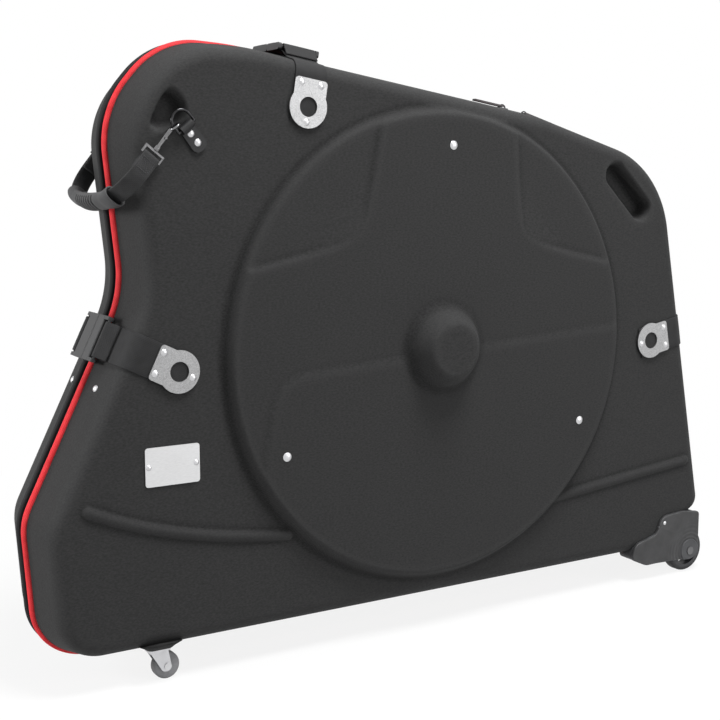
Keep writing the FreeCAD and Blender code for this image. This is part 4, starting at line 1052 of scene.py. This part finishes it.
def strap_path(eye):
    """Path from under the anchor plate to the buckle's bar, round it, and back along itself."""
    tail, lift, bend_depth, fold, end_lift = 22.0, 1.2, 56.0, 4.0, 2.2
    bar, loop, level, bend = -37.5, 3.7, 9.0, 3.65
    ground = [
        (-face_y, -eye - tail, 0), (-face_y, -shell_depth * draft, face_round),
        (-bend_depth, -(bend_depth - seam_half) * draft, 12.0), (-seam_half, 0, 0),
    ]
    path = shifted(ground, lift, closed=False)[:-1]
    foot = path[-1]
    path += [(bar + loop, level - loop, bend), (bar + loop, level + loop, bend), (bar - 2.0, level + loop, 3.0)]
    rise = (level - loop - foot[1]) / (bar + loop - foot[0])
    path.append((foot[0] + fold, foot[1] + fold * rise + end_lift * math.hypot(1, rise), 0))
    return open_walk(path, 2.5)


strap_width, strap_thickness, strap_puff = 50.0, 1.9, 0.15
for site, (start, end, share, eye) in strap_sites.items():
    for half, side in (("front", -1), ("rear", 1)):
        strip(
            f"{half}_{site}_webbing", strap_path(eye), strap_width, strap_thickness,
            site_place(start, end, share, side), webbing, f"{half}_half", (f"{half}_{site}_strap",),
            strap_puff,
        )
print("points along each strap:", [len(strap_path(eye)) for *_, eye in strap_sites.values()])

# %% [markdown]
# The handle's webbing loops through the bail of each snap hook, is sewn back on itself, and arches outside the rim
# through the moulded grip. It is one strip from hook to hook, with a box of stitches at each end.

# %% Handle webbing
handle_foot = (-403.07, -93.35, 740.58)
handle_turn = math.radians(231.0)
handle_width, handle_thickness, handle_puff, bail_loop = 25.0, 2.3, 0.1, 2.8
stitch_pitch, stitch_radius = 3.0, 0.45


def handle_place(a, b, c):
    """a runs away from the hooks, b to the rear, c across the strip."""
    ca, sa = math.cos(handle_turn), math.sin(handle_turn)
    return (handle_foot[0] + a * ca - c * sa, b, handle_foot[2] + a * sa + c * ca)


def handle_path():
    """Path from the front hook's bar over the arch to the rear hook's bar."""
    bar, tail, bend = 44.5, 24.0, 2.75
    shoulder, shoulder_radius, crown, crown_radius = 109.0, 52.0, 121.0, 300.0
    inner, outer = handle_foot[1] + bail_loop, handle_foot[1] - bail_loop
    front = [
        (bar + tail, inner, 0), (bar - bail_loop, inner, bend), (bar - bail_loop, outer, bend),
        (shoulder, outer, shoulder_radius),
    ]
    rear = [(a, -b, radius) for a, b, radius in reversed(front)]
    return open_walk(front + [(crown, 0, crown_radius)] + rear, 3.0)


strip(
    "handle_strip", handle_path(), handle_width, handle_thickness, handle_place, handle_weave, "handle",
    ("handle_webbing",), handle_puff,
)
sewn_level = abs(handle_foot[1]) + bail_loop + 1.2
sewn_box = ((50, -9), (66, -9), (66, 9), (50, 9), (50, -9), (66, 9))
sewn = []
for side in (-1, 1):
    sewn.append([(handle_place(a, side * sewn_level, c), (0, side, 0)) for a, c in sewn_box])
stitches("handle_stitches", sewn, stitch_pitch, stitch_radius, "handle")
print("points along the handle:", len(handle_path()))

# %% [markdown]
# The grip is a rubber sleeve on the arch of the webbing. Rings of points follow the strip's middle line, narrow at
# the waist and flared at the mouths, and the last rings turn back inside, so that the strip comes out of an open
# collar. Slots are pressed into its outer side, where the fingers close, and painted shade darkens them.

# %% Handle grip
grip_half, grip_waist, grip_around, slot_depth, slot_pitch, slot_count = 72.0, 48.0, 44, 3.4, 8.0, 8


def grip_half_sizes(s):
    """Half width and half thickness of the grip at a distance from its middle."""
    flare = float(ease(grip_waist, grip_half, np.float64(abs(s))))
    swell = math.cos(min(abs(s) / grip_waist, 1.0) * math.pi / 2)
    return 13.4 + 2.4 * flare, 8.6 + 1.4 * swell + 1.8 * flare


def slot_share(s):
    """1 in one of the slots, 0 between them."""
    nearest = min(abs(s - (k - (slot_count - 1) / 2) * slot_pitch) for k in range(slot_count))
    return float(1 - ease(1.5, 2.4, np.float64(nearest)))


def handle_grip_piece():
    path = np.array(handle_path())
    run = np.append(0, np.cumsum(np.hypot(*np.diff(path, axis=0).T)))
    run -= run[-1] / 2

    def spot(s):
        return np.interp(s, run, path[:, 0]), np.interp(s, run, path[:, 1])

    rings = [(s, 0.0, True) for s in np.arange(-grip_half, grip_half + 0.1, 1.0)]
    mouth = [(71.0, 2.4, False), (64.0, 3.4, False)]
    rings = [(-s, inset, outside) for s, inset, outside in reversed(mouth)] + rings + mouth
    points, slot_painted_shade = [], []
    for s, inset, outside in rings:
        a, b = spot(s)
        along = heading(spot(s - 1.5), spot(s + 1.5))
        out = (along[1], -along[0])
        wide, thick = grip_half_sizes(s)
        for k in range(grip_around):
            angle = 2 * math.pi * k / grip_around
            c, n = math.cos(angle), math.sin(angle)
            across = math.copysign(abs(c) ** 0.8, c) * (wide - inset)
            pressed = slot_share(s) * min(1.0, max(0.0, n / 0.3)) if outside else 0.0
            lift = math.copysign(abs(n) ** 0.9, n) * (thick - inset) - slot_depth * pressed
            slot_painted_shade.append(pressed)
            points.append(handle_place(a + out[0] * lift, b + out[1] * lift, across))
    made = piece("rubber_grip", points, tube_faces(0, len(rings), grip_around), grip_rubber, "handle")
    # Painted shade in the slots, as deep as each point is pressed in.
    layer = made.data.attributes.new("painted_shading", "FLOAT", "POINT")
    layer.data.foreach_set("value", np.array(slot_painted_shade, np.float32))
    turned_out(made)
    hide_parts("handle_grip")
    return made


print("grip faces:", len(handle_grip_piece().data.polygons))

# %% [markdown]
# Inside each disc three webbing ties hold a wheel. They are flat strips held by the disc's rivets, with a little
# slack.

# %% Wheel ties
tie_start, tie_step, tie_depth, tie_slack, tie_width, tie_thickness = 90.0, 9.0, 90.05, 0.5, 25.0, 1.3
tie_path = [(tie_start + k * tie_step, tie_depth - tie_slack * abs(math.sin(k * 0.5))) for k in range(26)]


def tie_strips(half, side):
    for i, angle in enumerate((87.0, -27.0, -153.0)):
        ca, sa = math.cos(math.radians(angle)), math.sin(math.radians(angle))

        def place(a, b, c):
            return (hub_x + a * ca - c * sa, side * b, hub_z + a * sa + c * ca)

        replaced = (half + "_wheel_ties",) if i == 0 else ()
        strip(
            f"{half}_tie_{i + 1}", tie_path, tie_width, tie_thickness, place, webbing, half + "_half", replaced,
        )


tie_strips("front", -1)
tie_strips("rear", 1)
print("points along each tie:", len(tie_path))

# %% [markdown]
# The corner housing's outer cheek is drawn here as a plate over the moulded block. Its upper edge sweeps up in an S,
# so the plate reaches round its rivet, and faint moulding rings circle the axle. The outline has few corners with
# large arcs; inset copies of it round off the edge and frame the flat.

# %% Housing cheeks
axle_x, axle_z, roller_radius = x_at(0.9637), 38.0, 38.0
cheek_shares = (
    (-3.47, 0.06, 0.22), (-2.62, -0.32, 0.75), (-1.35, -0.30, 0.50), (0.57, -0.44, 0.58), (0.57, 1.76, 0.16),
    (-0.45, 1.90, 0.90), (-1.82, 1.80, 0.58), (-1.94, 1.04, 0.50), (-3.30, 0.74, 0.50),
)


def ringed_plastic():
    """The housing's plastic, with moulding rings round the axle."""
    material = moulded(
        "ringed_plastic", (0.036, 0.036, 0.037), (0.074, 0.074, 0.076), 1200.0, (0.40, 0.58), 0.00012)
    tree = material.node_tree
    shader = tree.nodes["Principled BSDF"]
    place = add(tree, "ShaderNodeTexCoord").outputs["Object"]
    arm = add(tree, "ShaderNodeVectorMath", {0: place, 1: (axle_x * MM, 0, axle_z * MM)}, operation="SUBTRACT")
    flat = add(tree, "ShaderNodeVectorMath", {0: arm.outputs[0], 1: (1, 0, 1)}, operation="MULTIPLY")
    reach = add(tree, "ShaderNodeVectorMath", {0: flat.outputs[0]}, operation="LENGTH").outputs["Value"]
    wave = maths(tree, "SINE", maths(tree, "MULTIPLY", reach, 900.0))
    near_limits = {"From Min": 0.028, "From Max": 0.052, "To Min": 1, "To Max": 0}
    near = add(tree, "ShaderNodeMapRange", {"Value": reach, **near_limits})
    grain = shader.inputs["Normal"].links[0].from_socket
    raised = bump(tree, shader, maths(tree, "MULTIPLY", wave, near.outputs[0]), 0.0004, 0.7)
    tree.links.new(grain, raised.inputs["Normal"])
    return material


cheek_rings = ((0.0, 85.1), (0.0, 89.2), (0.5, 90.1), (1.4, 90.5), (2.4, 90.5), (3.6, 90.5))


def cheek(name, side, body):
    """One cheek, as inset outlines at growing depths."""
    corners = [
        (axle_x + a * roller_radius, axle_z + b * roller_radius, r * roller_radius) for a, b, r in cheek_shares]
    steps = even_steps(corners, 3.0)
    points = []
    for inset, depth in cheek_rings:
        points += [(x, side * depth, z) for x, z in walk(shifted(corners, inset), steps)]
    faces = tube_faces(0, len(cheek_rings), len(points) // len(cheek_rings))
    made = turned_out(piece(name, points, faces, cheek_plastic, body))
    for flat_face in made.data.polygons[-2:]:
        flat_face.use_smooth = False


cheek_plastic = ringed_plastic()
cheek("front_cheek", -1, "front_half")
cheek("rear_cheek", 1, "rear_half")
print("cheeks laid over the housings")

# %% [markdown]
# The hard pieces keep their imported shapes. Each gets the finish of its stuff, and a small bevel on its sharp edges,
# because no moulded or stamped edge is razor sharp and the bevel is what catches the light.

# %% Finishes of the hard pieces
def dress(ending, material, bevel=0.0):
    """Gives a finish to every node whose name has this ending."""
    dressed = 0
    for name, node in nodes.items():
        if name.endswith(ending):
            node.data.materials.clear()
            node.data.materials.append(material)
            if bevel:
                rounding = node.modifiers.new("edge", "BEVEL")
                rounding.width = bevel * MM
                rounding.segments = 2
                rounding.limit_method = "ANGLE"
                rounding.angle_limit = math.radians(40)
            dressed += 1
    return dressed


finishes = {
    "_rivets": (rivet_steel, 0.0), "front_axle": (axle_steel, 0.3), "rear_axle": (axle_steel, 0.3),
    "_top_plate": (plate_steel, 0.35), "_left_plate": (plate_steel, 0.35), "_right_plate": (plate_steel, 0.35),
    "name_plate": (name_steel, 0.3), "_ring_tab": (tab_plastic, 0.5), "_d_ring": (black_metal, 0.0),
    "_snap_hook": (gunmetal, 0.2), "_wheel_housing": (housing_plastic, 0.8),
    "_trolley_wheel": (wheel_plastic, 0.6), "_trolley_tyre": (tyre_rubber, 0.4),
    "_caster_plate": (zinc_steel, 0.3), "_caster_fork": (zinc_steel, 0.4), "_caster_axle": (rivet_steel, 0.3),
    "_caster_wheel": (caster_rubber, 0.4), "_buckle_plug": (buckle_plastic, 0.5),
    "_buckle_socket": (buckle_plastic, 0.5), "_zip_slider": (black_metal, 0.2), "_zip_pull": (grip_rubber, 0.4),
}
dressed = sum(dress(ending, material, bevel) for ending, (material, bevel) in finishes.items())
print("dressed nodes:", dressed)
